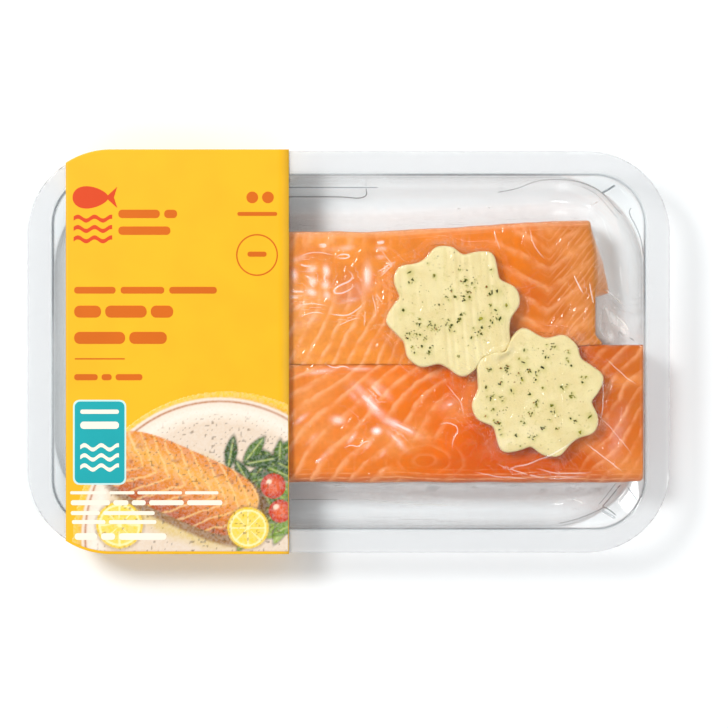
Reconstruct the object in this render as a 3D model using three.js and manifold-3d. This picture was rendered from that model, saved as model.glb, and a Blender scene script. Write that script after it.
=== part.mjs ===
// A chilled pack of two salmon portions: a clear thermoformed tray with a flat flange, two
// fillet portions side by side in it, a scalloped medallion of herb butter on each, a clear
// skin film drawn down over all of it and sealed to the flange, and a printed label wrapped
// round one end of the tray.
// Millimetres, +Z up, X along the pack, the origin under the middle of the pack at the base.

import * as THREE from 'three';
import { mergeVertices } from 'three/addons/utils/BufferGeometryUtils.js';
import Module from 'manifold-3d';

const wasm = await Module();
wasm.setup();

// The pack
const GAP = 0.3;                 // between pieces that touch
const FLANGE_HALF_LENGTH = 115;
const FLANGE_HALF_WIDTH = 71.9;
const FLANGE_RADIUS = 30;
const FLANGE_BREADTH = 9;
const TRAY_HEIGHT = 22;
const WALL = 0.8;
const FILM = 0.4;
const LABEL = 0.25;
const BASE_Z = LABEL + GAP;      // the tray stands on the label's lower panel
const FLANGE_Z = BASE_Z + TRAY_HEIGHT;
const FLOOR_Z = BASE_Z + WALL;

// The tray's cavity
const MOUTH_RADIUS = 18;
const POCKET_RADIUS = 33;        // rounder than the mouth, which leaves a ledge in each corner
const LEDGE_DROP = 3.0;
const DRAFT_INSET = 3.2;         // how far the wall leans in on its way down
const FOOT_FILLET = 2.6;
const EDGE_BEVEL = 0.25;
const WALL_CLEARANCE = 0.5;      // between the fish and the wall it is pressed against
const RIB = { x: 93.2, y: 58.3, turn: Math.PI / 6, length: 5, width: 1.1, height: 0.7, sunk: 0.3 };

// The fish
const SALMON_Z = FLOOR_Z + GAP;
const THICKNESS = 19.6;
const LENGTHWISE_FALL = 0.6;     // how much thinner the fish is 90 mm from its thickest place
const CROSSWISE_FALL = 0.5;      // and at its long outer edges
const THICKEST_X = 30;
const BACK_EDGE_Y = 45;
const FRONT_EDGE_Y = -47;
const SEAM_Y = -4.5;             // the line between the two portions, which bends to the back
const SEAM_BEND = { from: 20, to: 92, rise: 6.9 };
const SEAM_GAP = 1.0;
const END_TOE = { reach: 5.4, from: 0.97, to: -0.14 };   // the back portion's end, wider at its foot

// The butter
const LOBES = 8;
const MEDALLION_RADIUS = 22;
const LOBE_DEPTH = 1.85;
const LOBE_ROUNDNESS = 0.62;     // under 1, lobes are full and the notches between them narrow
const MEDALLION_THICKNESS = 5.4;
const LOBE_PHASE = THREE.MathUtils.degToRad(15);

// The label
const LABEL_LEFT = -101.2;
const LABEL_RIGHT = -21.4;
const LABEL_LEAN = 11.6;         // how far its sides lean in from the flange to the base

const COLOURS = {
  clear: 0xe9eef0,
  film: 0xf4f6f7,
  salmonBack: 0xf29652,
  salmonFront: 0xea8444,
  butter: 0xecdda8,
  label: 0xfdc83c,
};

// Geometry helpers

// Points of a rounded rectangle, anticlockwise from the right end, with extra points along the
// sides. The corners at its left end may have a radius of their own.
function roundedRectangle(halfLength, halfWidth, radius, arcSteps, sideSteps = 1, endSteps = 1, leftRadius = radius) {
  const corners = [[1, 1], [-1, 1], [-1, -1], [1, -1]];
  const arcs = corners.map(([signX, signY], corner) => {
    const bend = signX > 0 ? radius : leftRadius;
    const centre = new THREE.Vector2(signX * (halfLength - bend), signY * (halfWidth - bend));
    return Array.from({ length: arcSteps + 1 }, (_, step) => {
      const angle = (corner + step / arcSteps) * Math.PI / 2;
      return new THREE.Vector2(Math.cos(angle), Math.sin(angle)).multiplyScalar(bend).add(centre);
    });
  });
  return arcs.flatMap((arc, corner) => {
    const steps = corner % 2 === 0 ? sideSteps : endSteps;
    const from = arc[arcSteps];
    const to = arcs[(corner + 1) % corners.length][0];
    const between = Array.from({ length: steps - 1 }, (_, step) => from.clone().lerp(to, (step + 1) / steps));
    return [...arc, ...between];
  });
}

function geometryOf(vertices, triangles) {
  const geometry = new THREE.BufferGeometry();
  geometry.setAttribute('position', new THREE.Float32BufferAttribute(vertices.flatMap((p) => [p.x, p.y, p.z]), 3));
  geometry.setIndex(triangles.flat());
  geometry.computeVertexNormals();
  return geometry;
}

// A closed body through loops of equal length: the first loop is capped facing down and the
// last facing up where the loops climb, and the other way round where they sink.
function loft(loops) {
  const size = loops[0].length;
  const triangles = [];
  for (let row = 0; row + 1 < loops.length; row += 1) {
    for (let i = 0; i < size; i += 1) {
      const j = (i + 1) % size;
      const [a, b, c, d] = [row * size + i, row * size + j, (row + 1) * size + j, (row + 1) * size + i];
      triangles.push([a, b, c], [a, c, d]);
    }
  }
  const cap = (loop) => THREE.ShapeUtils.triangulateShape(loop.map((p) => new THREE.Vector2(p.x, p.y)), []);
  const last = (loops.length - 1) * size;
  cap(loops[0]).forEach(([a, b, c]) => triangles.push([c, b, a]));
  cap(loops[loops.length - 1]).forEach(([a, b, c]) => triangles.push([last + a, last + b, last + c]));
  return geometryOf(loops.flat(), triangles);
}

function solidOf(geometry) {
  const bare = new THREE.BufferGeometry();
  bare.setAttribute('position', geometry.getAttribute('position'));
  bare.setIndex(geometry.getIndex());
  const merged = mergeVertices(bare, 1e-4);
  return new wasm.Manifold(new wasm.Mesh({
    numProp: 3,
    vertProperties: new Float32Array(merged.getAttribute('position').array),
    triVerts: new Uint32Array(merged.getIndex().array),
  }));
}

function geometryFrom(solid) {
  const mesh = solid.getMesh();
  const geometry = new THREE.BufferGeometry();
  geometry.setAttribute('position', new THREE.BufferAttribute(new Float32Array(mesh.vertProperties), 3));
  geometry.setIndex(new THREE.BufferAttribute(new Uint32Array(mesh.triVerts), 1));
  geometry.computeVertexNormals();
  return geometry;
}

function prism(outline, bottom, top) {
  const shape = new THREE.Shape(outline);
  const geometry = new THREE.ExtrudeGeometry(shape, { depth: top - bottom, bevelEnabled: false });
  geometry.translate(0, 0, bottom);
  geometry.deleteAttribute('uv');
  geometry.deleteAttribute('normal');
  return mergeVertices(geometry, 1e-4);
}

// The tray

const MOUTH_HALF_LENGTH = FLANGE_HALF_LENGTH - FLANGE_BREADTH;
const MOUTH_HALF_WIDTH = FLANGE_HALF_WIDTH - FLANGE_BREADTH + 0.5;

// The cavity's surface as levels, from the flange's inner edge down to the floor: how far in
// from the mouth, the height, and the corner radius.
const CAVITY = [
  { inset: 0, z: FLANGE_Z, radius: MOUTH_RADIUS },
  { inset: 0.35, z: FLANGE_Z - 0.5, radius: MOUTH_RADIUS },
  { inset: 0.45, z: FLANGE_Z - LEDGE_DROP, radius: MOUTH_RADIUS },
  { inset: 0.55, z: FLANGE_Z - LEDGE_DROP - 0.1, radius: POCKET_RADIUS },
  { inset: 0.8, z: FLANGE_Z - LEDGE_DROP - 0.8, radius: POCKET_RADIUS },
  { inset: 0.8 + DRAFT_INSET, z: FLOOR_Z + FOOT_FILLET, radius: POCKET_RADIUS - 2 },
  { inset: 1.6 + DRAFT_INSET, z: FLOOR_Z + 0.8, radius: POCKET_RADIUS - 3 },
  { inset: 0.8 + DRAFT_INSET + FOOT_FILLET, z: FLOOR_Z, radius: POCKET_RADIUS - 5 },
];
const RISING_CAVITY = CAVITY.slice().reverse();

function cavityLoop({ inset, z, radius }) {
  return roundedRectangle(MOUTH_HALF_LENGTH - inset, MOUTH_HALF_WIDTH - inset, radius, 9)
    .map((p) => new THREE.Vector3(p.x, p.y, z));
}

function flangeLoop(inset, z) {
  return roundedRectangle(FLANGE_HALF_LENGTH - inset, FLANGE_HALF_WIDTH - inset, FLANGE_RADIUS - inset, 9)
    .map((p) => new THREE.Vector3(p.x, p.y, z));
}

// The level a wall's thickness further out and down, on the tray's outer skin.
function outerLevel({ inset, z, radius }) {
  const spread = z > FLOOR_Z ? WALL : 0;
  return { inset: inset - spread, z: z - WALL, radius: radius + spread };
}

// A short bar moulded on each corner's ledge.
function ledgeRib(signX, signY) {
  const bar = new THREE.BoxGeometry(RIB.length, RIB.width, RIB.height + RIB.sunk);
  bar.rotateZ(signX * signY * RIB.turn);
  bar.translate(signX * RIB.x, signY * RIB.y, FLANGE_Z - LEDGE_DROP + (RIB.height - RIB.sunk) / 2);
  bar.deleteAttribute('uv');
  bar.deleteAttribute('normal');
  return solidOf(mergeVertices(bar, 1e-4));
}

function trayGeometry() {
  const loops = [
    ...RISING_CAVITY.map(outerLevel).map(cavityLoop),
    flangeLoop(EDGE_BEVEL, FLANGE_Z - WALL),
    flangeLoop(0, FLANGE_Z - WALL + EDGE_BEVEL),
    flangeLoop(0, FLANGE_Z - EDGE_BEVEL),
    flangeLoop(EDGE_BEVEL, FLANGE_Z),
    ...CAVITY.map(cavityLoop),
  ];
  let tray = solidOf(loft(loops));
  [[1, 1], [-1, 1], [-1, -1], [1, -1]].forEach(([signX, signY]) => {
    tray = tray.add(ledgeRib(signX, signY));
  });
  return geometryFrom(tray);
}

// The fish

const smooth = (low, high, x) => THREE.MathUtils.smoothstep(x, low, high);

const seamY = (x) => SEAM_Y + SEAM_BEND.rise * smooth(SEAM_BEND.from, SEAM_BEND.to, x);

// A point of the fish, pressed in where the tray's wall would be in its way.
function pressedIn(point) {
  const above = CAVITY.findLastIndex(({ z }) => z >= point.z);
  const [upper, lower] = [CAVITY[above], CAVITY[Math.min(above + 1, CAVITY.length - 1)]];
  const share = upper.z > lower.z ? (upper.z - point.z) / (upper.z - lower.z) : 0;
  const inset = THREE.MathUtils.lerp(upper.inset, lower.inset, share) + WALL_CLEARANCE;
  const radius = Math.max(upper.radius, lower.radius) - WALL_CLEARANCE;
  const [halfLength, halfWidth] = [MOUTH_HALF_LENGTH - inset, MOUTH_HALF_WIDTH - inset];
  const centre = new THREE.Vector2(
    Math.sign(point.x) * (halfLength - radius),
    Math.sign(point.y) * (halfWidth - radius),
  );
  const arm = new THREE.Vector2(point.x, point.y).sub(centre);
  const inCorner = arm.x * centre.x > 0 && arm.y * centre.y > 0;
  if (inCorner) arm.clampLength(0, radius);
  const x = THREE.MathUtils.clamp(centre.x + arm.x, -halfLength, halfLength);
  return new THREE.Vector3(x, centre.y + arm.y, point.z);
}

// The height of the fish's top over its base, before its edges round off.
function fishThickness(x, y) {
  const lengthwise = LENGTHWISE_FALL * ((x - THICKEST_X) / 90) ** 2;
  const crosswise = CROSSWISE_FALL * (y / BACK_EDGE_Y) ** 2;
  return THICKNESS - lengthwise - crosswise;
}

// How far the back portion's end stands out at its foot, from nothing at its outer corner.
function endToe(across) {
  const growing = THREE.MathUtils.clamp((END_TOE.from - across) / (END_TOE.from - END_TOE.to), 0, 1);
  return END_TOE.reach * growing * smooth(END_TOE.to - 0.1, END_TOE.to, across);
}

// Each portion's edges in plan. share is the height from 0, the base, to 1, the top.
const PORTIONS = {
  back: {
    name: 'salmon_back',
    left: -84,
    leftRadius: 8,
    rightRadius: 2.5,
    right: (across, share) => 88.7 - 1.8 * smooth(0.3, 1, across) + 2.8 * smooth(0.8, 1, -across)
      + endToe(across) * (1 - smooth(0.35, 0.9, share)),
    outer: (x) => BACK_EDGE_Y - 1.8 + 4 * smooth(0, 90, x) - 1.5 * smooth(30, 84, -x),
    inner: (x) => seamY(x) + SEAM_GAP / 2,
  },
  front: {
    name: 'salmon_front',
    left: -72,
    leftRadius: 10,
    rightRadius: 3,
    right: (across, share) => 99.4 + 6 * share - 2.2 * smooth(0.5, 1, -across),
    outer: (x) => FRONT_EDGE_Y + 1.2 * smooth(20, 72, -x),
    inner: (x) => seamY(x) - SEAM_GAP / 2,
  },
};

// A portion's skin from its base over its sides to its top: how far in from the edge, and the
// share of the thickness.
const FISH_LEVELS = [
  [3.0, 0], [0.8, 0.05], [0, 0.2], [-0.3, 0.5], [0, 0.76], [1.0, 0.9],
  [2.8, 0.965], [6, 0.992], [12, 1], [19, 1],
];

function portionGeometry({ left, right, outer, inner, leftRadius, rightRadius }) {
  const halfLength = (right(0, 1) - left) / 2;
  const halfWidth = Math.abs(outer(0) - inner(0)) / 2;
  const loops = FISH_LEVELS.map(([inset, share]) => {
    const plan = roundedRectangle(
      halfLength - inset,
      halfWidth - inset,
      Math.max(1.5, rightRadius - inset),
      4,
      15,
      6,
      Math.max(1.5, leftRadius - inset),
    );
    return plan.map((p) => {
      const along = (p.x / halfLength + 1) / 2;
      const across = p.y / halfWidth;
      const x = left + along * (right(across, share) - left);
      const [low, high] = [inner(x), outer(x)].sort((a, b) => a - b);
      const y = low + (high - low) * (across + 1) / 2;
      return pressedIn(new THREE.Vector3(x, y, SALMON_Z + share * fishThickness(x, y)));
    });
  });
  return loft(loops);
}

// The butter

const MEDALLIONS = {
  back: { name: 'butter_back', x: 37, y: 15.3, wobble: 0.5 },
  front: { name: 'butter_front', x: 67.5, y: -15.1, wobble: 2.1 },
};

// A medallion's edge: eight round lobes, none quite like its neighbour.
function medallionOutline({ x, y, wobble }, grow = 0, scale = 1) {
  const count = LOBES * 8;
  return Array.from({ length: count }, (_, i) => {
    const turn = (i / count) * 2 * Math.PI;
    const angle = turn + LOBE_PHASE;
    const uneven = 0.45 * Math.sin(2 * angle + wobble) + 0.35 * Math.sin(3 * angle + 2 * wobble);
    const fullness = ((1 + Math.cos(LOBES * turn)) / 2) ** LOBE_ROUNDNESS;
    const lobe = LOBE_DEPTH * (2 * fullness - 1);
    const radius = scale * (MEDALLION_RADIUS + uneven + lobe) + grow;
    return new THREE.Vector2(x + radius * Math.cos(angle), y + radius * Math.sin(angle));
  });
}

// Levels from the underside round the edge to the top: the outline's scale, how far in from
// it, and the height over the fish.
const BUTTER_LEVELS = [
  [0.3, 0, 0], [0.68, 0, 0], [1, 0.7, 0], [1, 0, 0.7],
  [1, 0.15, MEDALLION_THICKNESS - 1.2], [1, 0.5, MEDALLION_THICKNESS - 0.4],
  [1, 1.3, MEDALLION_THICKNESS], [0.68, 0, MEDALLION_THICKNESS + 0.1], [0.3, 0, MEDALLION_THICKNESS + 0.15],
];

function medallionGeometry(medallion) {
  return loft(BUTTER_LEVELS.map(([scale, inset, height]) => (
    medallionOutline(medallion, -inset, scale).map((p) => (
      new THREE.Vector3(p.x, p.y, SALMON_Z + fishThickness(p.x, p.y) + GAP + height)))
  )));
}

// The back medallion stops where the front one lies over its edge.
function backMedallionGeometry() {
  const front = prism(medallionOutline(MEDALLIONS.front, GAP), 0, 2 * FLANGE_Z);
  return geometryFrom(solidOf(medallionGeometry(MEDALLIONS.back)).subtract(solidOf(front)));
}

// The film

// The highest point of some geometries over each cell of a square grid.
function heightMap(geometries, step) {
  const columns = Math.ceil(2 * FLANGE_HALF_LENGTH / step) + 1;
  const rows = Math.ceil(2 * FLANGE_HALF_WIDTH / step) + 1;
  const heights = new Float32Array(columns * rows).fill(FLOOR_Z);
  const corners = [0, 1, 2].map(() => new THREE.Vector3());
  const flat = [0, 1, 2].map(() => new THREE.Vector3());
  const weights = new THREE.Vector3();
  geometries.forEach((geometry) => {
    const position = geometry.getAttribute('position');
    const index = geometry.getIndex();
    for (let face = 0; face < index.count; face += 3) {
      corners.forEach((corner, k) => {
        corner.fromBufferAttribute(position, index.getX(face + k));
        flat[k].set(corner.x, corner.y, 0);
      });
      const [lowX, highX] = [Math.min(...corners.map((c) => c.x)), Math.max(...corners.map((c) => c.x))];
      const [lowY, highY] = [Math.min(...corners.map((c) => c.y)), Math.max(...corners.map((c) => c.y))];
      for (let i = Math.ceil((lowX + FLANGE_HALF_LENGTH) / step); i * step - FLANGE_HALF_LENGTH <= highX; i += 1) {
        for (let j = Math.ceil((lowY + FLANGE_HALF_WIDTH) / step); j * step - FLANGE_HALF_WIDTH <= highY; j += 1) {
          const spot = new THREE.Vector3(i * step - FLANGE_HALF_LENGTH, j * step - FLANGE_HALF_WIDTH, 0);
          const found = THREE.Triangle.getBarycoord(spot, ...flat, weights);
          if (found && Math.min(weights.x, weights.y, weights.z) >= -1e-6) {
            const z = corners[0].z * weights.x + corners[1].z * weights.y + corners[2].z * weights.z;
            const cell = j * columns + i;
            heights[cell] = Math.max(heights[cell], z);
          }
        }
      }
    }
  });
  const at = (i, j) => heights[THREE.MathUtils.clamp(j, 0, rows - 1) * columns + THREE.MathUtils.clamp(i, 0, columns - 1)];
  return (lowX, highX, lowY, highY) => {
    let top = FLOOR_Z;
    for (let i = Math.floor((lowX + FLANGE_HALF_LENGTH) / step); i <= Math.ceil((highX + FLANGE_HALF_LENGTH) / step); i += 1) {
      for (let j = Math.floor((lowY + FLANGE_HALF_WIDTH) / step); j <= Math.ceil((highY + FLANGE_HALF_WIDTH) / step); j += 1) {
        top = Math.max(top, at(i, j));
      }
    }
    return top;
  };
}

// Grid lines from one stop to the next, in steps near the size given for that stretch.
function gridLines(stops) {
  const lines = [stops[0].at];
  stops.slice(1).forEach(({ at, step }) => {
    const from = lines[lines.length - 1];
    const count = Math.max(1, Math.round((at - from) / step));
    for (let i = 1; i <= count; i += 1) lines.push(from + (at - from) * i / count);
  });
  return lines;
}

const FILM_X = gridLines([
  { at: -FLANGE_HALF_LENGTH - 1 }, { at: -MOUTH_HALF_LENGTH - 0.4, step: 9 }, { at: -99, step: 3.6 },
  { at: -20, step: 8 }, { at: 96, step: 4 }, { at: MOUTH_HALF_LENGTH + 0.4, step: 3.6 },
  { at: FLANGE_HALF_LENGTH + 1, step: 9 },
]);
const FILM_Y = gridLines([
  { at: -FLANGE_HALF_WIDTH - 1 }, { at: -MOUTH_HALF_WIDTH - 0.4, step: 9 }, { at: -55, step: 3 },
  { at: 52, step: 4 }, { at: MOUTH_HALF_WIDTH + 0.4, step: 3.8 }, { at: FLANGE_HALF_WIDTH + 1, step: 9 },
]);
const SUCTION = 0.8;             // how hard the vacuum curves the film between what holds it up
const FILM_ROUNDS = 600;

// The film's underside: a membrane drawn down onto the tray, the fish and the butter.
function drape(geometries) {
  const topOver = heightMap(geometries, 0.8);
  const [columns, rows] = [FILM_X.length, FILM_Y.length];
  const clampX = (i) => FILM_X[THREE.MathUtils.clamp(i, 0, columns - 1)];
  const clampY = (j) => FILM_Y[THREE.MathUtils.clamp(j, 0, rows - 1)];
  const floor = FILM_Y.map((_, j) => FILM_X.map((__, i) => (
    GAP + topOver(clampX(i - 1), clampX(i + 1), clampY(j - 1), clampY(j + 1)))));
  const film = floor.map((row, j) => row.map((z, i) => {
    const edge = i === 0 || j === 0 || i === columns - 1 || j === rows - 1;
    return edge ? FLANGE_Z + GAP : Math.max(z, FLANGE_Z + GAP);
  }));
  for (let round = 0; round < FILM_ROUNDS; round += 1) {
    for (let j = 1; j + 1 < rows; j += 1) {
      for (let i = 1; i + 1 < columns; i += 1) {
        const [west, east] = [FILM_X[i] - FILM_X[i - 1], FILM_X[i + 1] - FILM_X[i]];
        const [south, north] = [FILM_Y[j] - FILM_Y[j - 1], FILM_Y[j + 1] - FILM_Y[j]];
        const alongX = (film[j][i - 1] / west + film[j][i + 1] / east) * 2 / (west + east);
        const alongY = (film[j - 1][i] / south + film[j + 1][i] / north) * 2 / (south + north);
        const stiffness = 2 / (west * east) + 2 / (south * north);
        film[j][i] = Math.max(floor[j][i], (alongX + alongY - SUCTION) / stiffness);
      }
    }
  }
  return film;
}

function filmGeometry(geometries) {
  const film = drape(geometries);
  const [columns, rows] = [FILM_X.length, FILM_Y.length];
  const vertices = [0, FILM].flatMap((lift) => (
    film.flatMap((row, j) => row.map((z, i) => new THREE.Vector3(FILM_X[i], FILM_Y[j], z + lift)))));
  const triangles = [];
  const under = (i, j) => j * columns + i;
  const over = (i, j) => rows * columns + under(i, j);
  for (let j = 0; j + 1 < rows; j += 1) {
    for (let i = 0; i + 1 < columns; i += 1) {
      triangles.push([over(i, j), over(i + 1, j), over(i + 1, j + 1)], [over(i, j), over(i + 1, j + 1), over(i, j + 1)]);
      triangles.push([under(i, j), under(i + 1, j + 1), under(i + 1, j)], [under(i, j), under(i, j + 1), under(i + 1, j + 1)]);
    }
  }
  const rim = [];
  for (let i = 0; i + 1 < columns; i += 1) rim.push([i, 0]);
  for (let j = 0; j + 1 < rows; j += 1) rim.push([columns - 1, j]);
  for (let i = columns - 1; i > 0; i -= 1) rim.push([i, rows - 1]);
  for (let j = rows - 1; j > 0; j -= 1) rim.push([0, j]);
  rim.forEach((a, k) => {
    const b = rim[(k + 1) % rim.length];
    triangles.push([under(...a), under(...b), over(...b)], [under(...a), over(...b), over(...a)]);
  });
  const outline = roundedRectangle(FLANGE_HALF_LENGTH, FLANGE_HALF_WIDTH, FLANGE_RADIUS, 9);
  const trimmed = solidOf(geometryOf(vertices, triangles)).intersect(solidOf(prism(outline, -1, 2 * FLANGE_Z)));
  return geometryFrom(trimmed);
}

// The label

// Half the flange's width at x, which narrows round the corners.
function flangeHalfWidthAt(x) {
  const past = Math.max(0, Math.abs(x) - (FLANGE_HALF_LENGTH - FLANGE_RADIUS));
  return FLANGE_HALF_WIDTH - FLANGE_RADIUS + Math.sqrt(FLANGE_RADIUS ** 2 - past ** 2);
}

// One ring of the label round the tray, drawn in by a distance from its outer face.
function labelRing(x, drawnIn) {
  const half = flangeHalfWidthAt(x) + GAP + LABEL - drawnIn;
  const top = FLANGE_Z + GAP + FILM + GAP + LABEL - drawnIn;
  const fold = FLANGE_Z - WALL - GAP;
  const foot = half - LABEL_LEAN;
  const bottom = drawnIn;
  const soft = 0.5 * (1 - drawnIn);
  const side = [[foot, bottom], [half, fold], [half, top - soft], [half - soft, top]];
  const mirrored = side.map(([y, z]) => [-y, z]).reverse();
  return [...side, ...mirrored].map(([y, z]) => new THREE.Vector3(x, y, z));
}

function labelGeometry() {
  const bend = FLANGE_RADIUS - FLANGE_HALF_LENGTH;
  const stations = gridLines([{ at: LABEL_LEFT }, { at: bend, step: 2.7 }, { at: LABEL_RIGHT, step: 32 }]);
  const rings = stations.flatMap((x) => [labelRing(x, 0), labelRing(x, LABEL)]);
  const size = rings[0].length;
  const vertex = (station, layer, i) => (station * 2 + layer) * size + (i % size);
  const triangles = [];
  const quad = (a, b, c, d) => triangles.push([a, c, b], [a, d, c]);
  for (let i = 0; i < size; i += 1) {
    for (let s = 0; s + 1 < stations.length; s += 1) {
      quad(vertex(s, 0, i), vertex(s + 1, 0, i), vertex(s + 1, 0, i + 1), vertex(s, 0, i + 1));
      quad(vertex(s, 1, i), vertex(s, 1, i + 1), vertex(s + 1, 1, i + 1), vertex(s + 1, 1, i));
    }
    const last = stations.length - 1;
    quad(vertex(0, 0, i), vertex(0, 0, i + 1), vertex(0, 1, i + 1), vertex(0, 1, i));
    quad(vertex(last, 0, i), vertex(last, 1, i), vertex(last, 1, i + 1), vertex(last, 0, i + 1));
  }
  return geometryFrom(solidOf(geometryOf(rings.flat(), triangles)));
}

// The pack put together

function material(color, roughness, opacity = 1) {
  return new THREE.MeshStandardMaterial({ color, roughness, metalness: 0, opacity, transparent: opacity < 1 });
}

function piece(name, geometry, look) {
  const mesh = new THREE.Mesh(geometry, look);
  mesh.name = name;
  return mesh;
}

const butterLook = material(COLOURS.butter, 0.45);
const container = new THREE.Group();
container.add(piece('tray', trayGeometry(), material(COLOURS.clear, 0.12, 0.3)));

const contents = new THREE.Group();
contents.add(piece(PORTIONS.back.name, portionGeometry(PORTIONS.back), material(COLOURS.salmonBack, 0.35)));
contents.add(piece(PORTIONS.front.name, portionGeometry(PORTIONS.front), material(COLOURS.salmonFront, 0.35)));
contents.add(piece(MEDALLIONS.back.name, backMedallionGeometry(), butterLook));
contents.add(piece(MEDALLIONS.front.name, medallionGeometry(MEDALLIONS.front), butterLook));

const held = [...container.children, ...contents.children].map((mesh) => mesh.geometry);
const wrapping = new THREE.Group();
wrapping.add(piece('skin_film', filmGeometry(held), material(COLOURS.film, 0.08, 0.2)));
wrapping.add(piece('label', labelGeometry(), material(COLOURS.label, 0.4)));

const pack = new THREE.Group();
pack.add(container, contents, wrapping);

export default pack;
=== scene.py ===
"""A chilled pack of two salmon portions with herb butter, in a clear tray under a clear skin film.

Lengths in this script are millimetres, and become metres where a mesh or the camera is made. Only the
floor and the lamps are given in metres.
+X runs along the pack, +Y towards its back, +Z up, with the origin under its middle.
"""

from math import atan2, cos, hypot, pi, radians, sin, sqrt

import bpy
import numpy as np
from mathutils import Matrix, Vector
from mathutils.bvhtree import BVHTree


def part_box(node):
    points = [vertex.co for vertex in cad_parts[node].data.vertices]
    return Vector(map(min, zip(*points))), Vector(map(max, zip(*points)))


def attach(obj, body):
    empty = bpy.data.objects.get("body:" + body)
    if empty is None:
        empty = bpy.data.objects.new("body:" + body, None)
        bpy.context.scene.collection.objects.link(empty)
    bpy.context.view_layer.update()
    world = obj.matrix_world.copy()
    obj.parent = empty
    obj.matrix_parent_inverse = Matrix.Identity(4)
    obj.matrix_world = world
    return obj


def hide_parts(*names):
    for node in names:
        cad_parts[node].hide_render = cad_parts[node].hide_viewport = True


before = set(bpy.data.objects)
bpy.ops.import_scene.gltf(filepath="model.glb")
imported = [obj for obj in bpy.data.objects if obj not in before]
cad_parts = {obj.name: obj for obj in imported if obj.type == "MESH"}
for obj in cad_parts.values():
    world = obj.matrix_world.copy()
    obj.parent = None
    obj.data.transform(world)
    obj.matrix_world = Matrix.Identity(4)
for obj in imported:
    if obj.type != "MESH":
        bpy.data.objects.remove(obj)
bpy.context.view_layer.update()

MM = 0.001
BODY = "root"
rng = np.random.default_rng(7)


def cad_size(node):
    """A solid's lowest and highest corners, in millimetres."""
    low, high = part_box(node)
    return np.array(low) / MM, np.array(high) / MM


# The pack, from the solids

tray_low, tray_high = cad_size("tray")
label_low, label_high = cad_size("label")
FLANGE_HALF_LENGTH = tray_high[0]
FLANGE_HALF_WIDTH = tray_high[1]
FLANGE_Z = tray_high[2]
BASE_Z = tray_low[2]
FLANGE_RADIUS = 30
FLANGE_BREADTH = 9
MOUTH_HALF_LENGTH = FLANGE_HALF_LENGTH - FLANGE_BREADTH
# The flange is half a millimetre narrower along the long sides.
MOUTH_HALF_WIDTH = FLANGE_HALF_WIDTH - FLANGE_BREADTH + 0.5
MOUTH_RADIUS = 18
POCKET_RADIUS = 33
LEDGE_DROP = 3.0
PLASTIC = 0.6
SOLID_WALL = 0.8
FLOOR_Z = BASE_Z + SOLID_WALL
SALMON_Z = cad_size("salmon_back")[0][2]
THICKNESS = 19.6


# Numbers

def smoothstep(low, high, x):
    t = np.clip((np.asarray(x, float) - low) / (high - low), 0, 1)
    return t * t * (3 - 2 * t)


def bell(x, centre, width):
    return np.exp(-(((np.asarray(x, float) - centre) / width) ** 2))


def srgb(red, green, blue):
    """An 8-bit display colour as linear light."""
    values = np.array([red, green, blue]) / 255
    linear = np.where(values <= 0.04045, values / 12.92, ((values + 0.055) / 1.055) ** 2.4)
    return tuple(float(v) for v in linear)


# Large numbers that scatter a cell's column, row and seed, and then their sum, over 32 bits.
SCATTER_COLUMN, SCATTER_ROW, SCATTER_SEED, SCATTER_SUM = 374761393, 668265263, 2147483647, 1274126177
BITS_32, BITS_16 = 0xFFFFFFFF, 0xFFFF


def value_noise(x, y, cell, seed):
    """Smooth noise from -1 to 1 whose hills are about one cell across."""
    x, y = np.asarray(x, float) / cell, np.asarray(y, float) / cell
    column, row = np.floor(x).astype(int), np.floor(y).astype(int)
    u, v = x - column, y - row
    u, v = u * u * (3 - 2 * u), v * v * (3 - 2 * v)

    def corner(i, j):
        mixed = (i * SCATTER_COLUMN + j * SCATTER_ROW + seed * SCATTER_SEED) & BITS_32
        mixed = ((mixed ^ (mixed >> 13)) * SCATTER_SUM) & BITS_32
        return ((mixed ^ (mixed >> 16)) & BITS_16) / (BITS_16 / 2) - 1

    low = corner(column, row) * (1 - u) + corner(column + 1, row) * u
    high = corner(column, row + 1) * (1 - u) + corner(column + 1, row + 1) * u
    return low * (1 - v) + high * v


def fractal_noise(x, y, cell, seed):
    """Value noise of three sizes, each half as large and half as strong as the last."""
    total, weight = 0, 0
    for octave in range(3):
        total = total + value_noise(x, y, cell / 2 ** octave, seed + octave) / 2 ** octave
        weight += 1 / 2 ** octave
    return total / weight


def rounded_rectangle(half_length, half_width, radius, steps, left_radius=None):
    """Points anticlockwise from the right end: steps are those of each arc, each side and each end."""
    arc_steps, side_steps, end_steps = steps
    arcs = []
    for corner, (sign_x, sign_y) in enumerate([(1, 1), (-1, 1), (-1, -1), (1, -1)]):
        bend = radius if sign_x > 0 or left_radius is None else left_radius
        centre = np.array([sign_x * (half_length - bend), sign_y * (half_width - bend)])
        angles = (corner + np.arange(arc_steps + 1) / arc_steps) * pi / 2
        arcs.append(centre + bend * np.column_stack([np.cos(angles), np.sin(angles)]))
    points = []
    for corner, arc in enumerate(arcs):
        count = side_steps if corner % 2 == 0 else end_steps
        start, end = arc[-1], arcs[(corner + 1) % 4][0]
        points += [*arc, *(start + (end - start) * step / count for step in range(1, count))]
    return np.array(points)


def rounded_distance(x, y, half_length, half_width, radius):
    """How far points lie outside a rounded rectangle, negative inside it."""
    dx = np.abs(x) - (half_length - radius)
    dy = np.abs(y) - (half_width - radius)
    outside = np.hypot(np.maximum(dx, 0), np.maximum(dy, 0))
    return outside + np.minimum(np.maximum(dx, dy), 0) - radius


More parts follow.
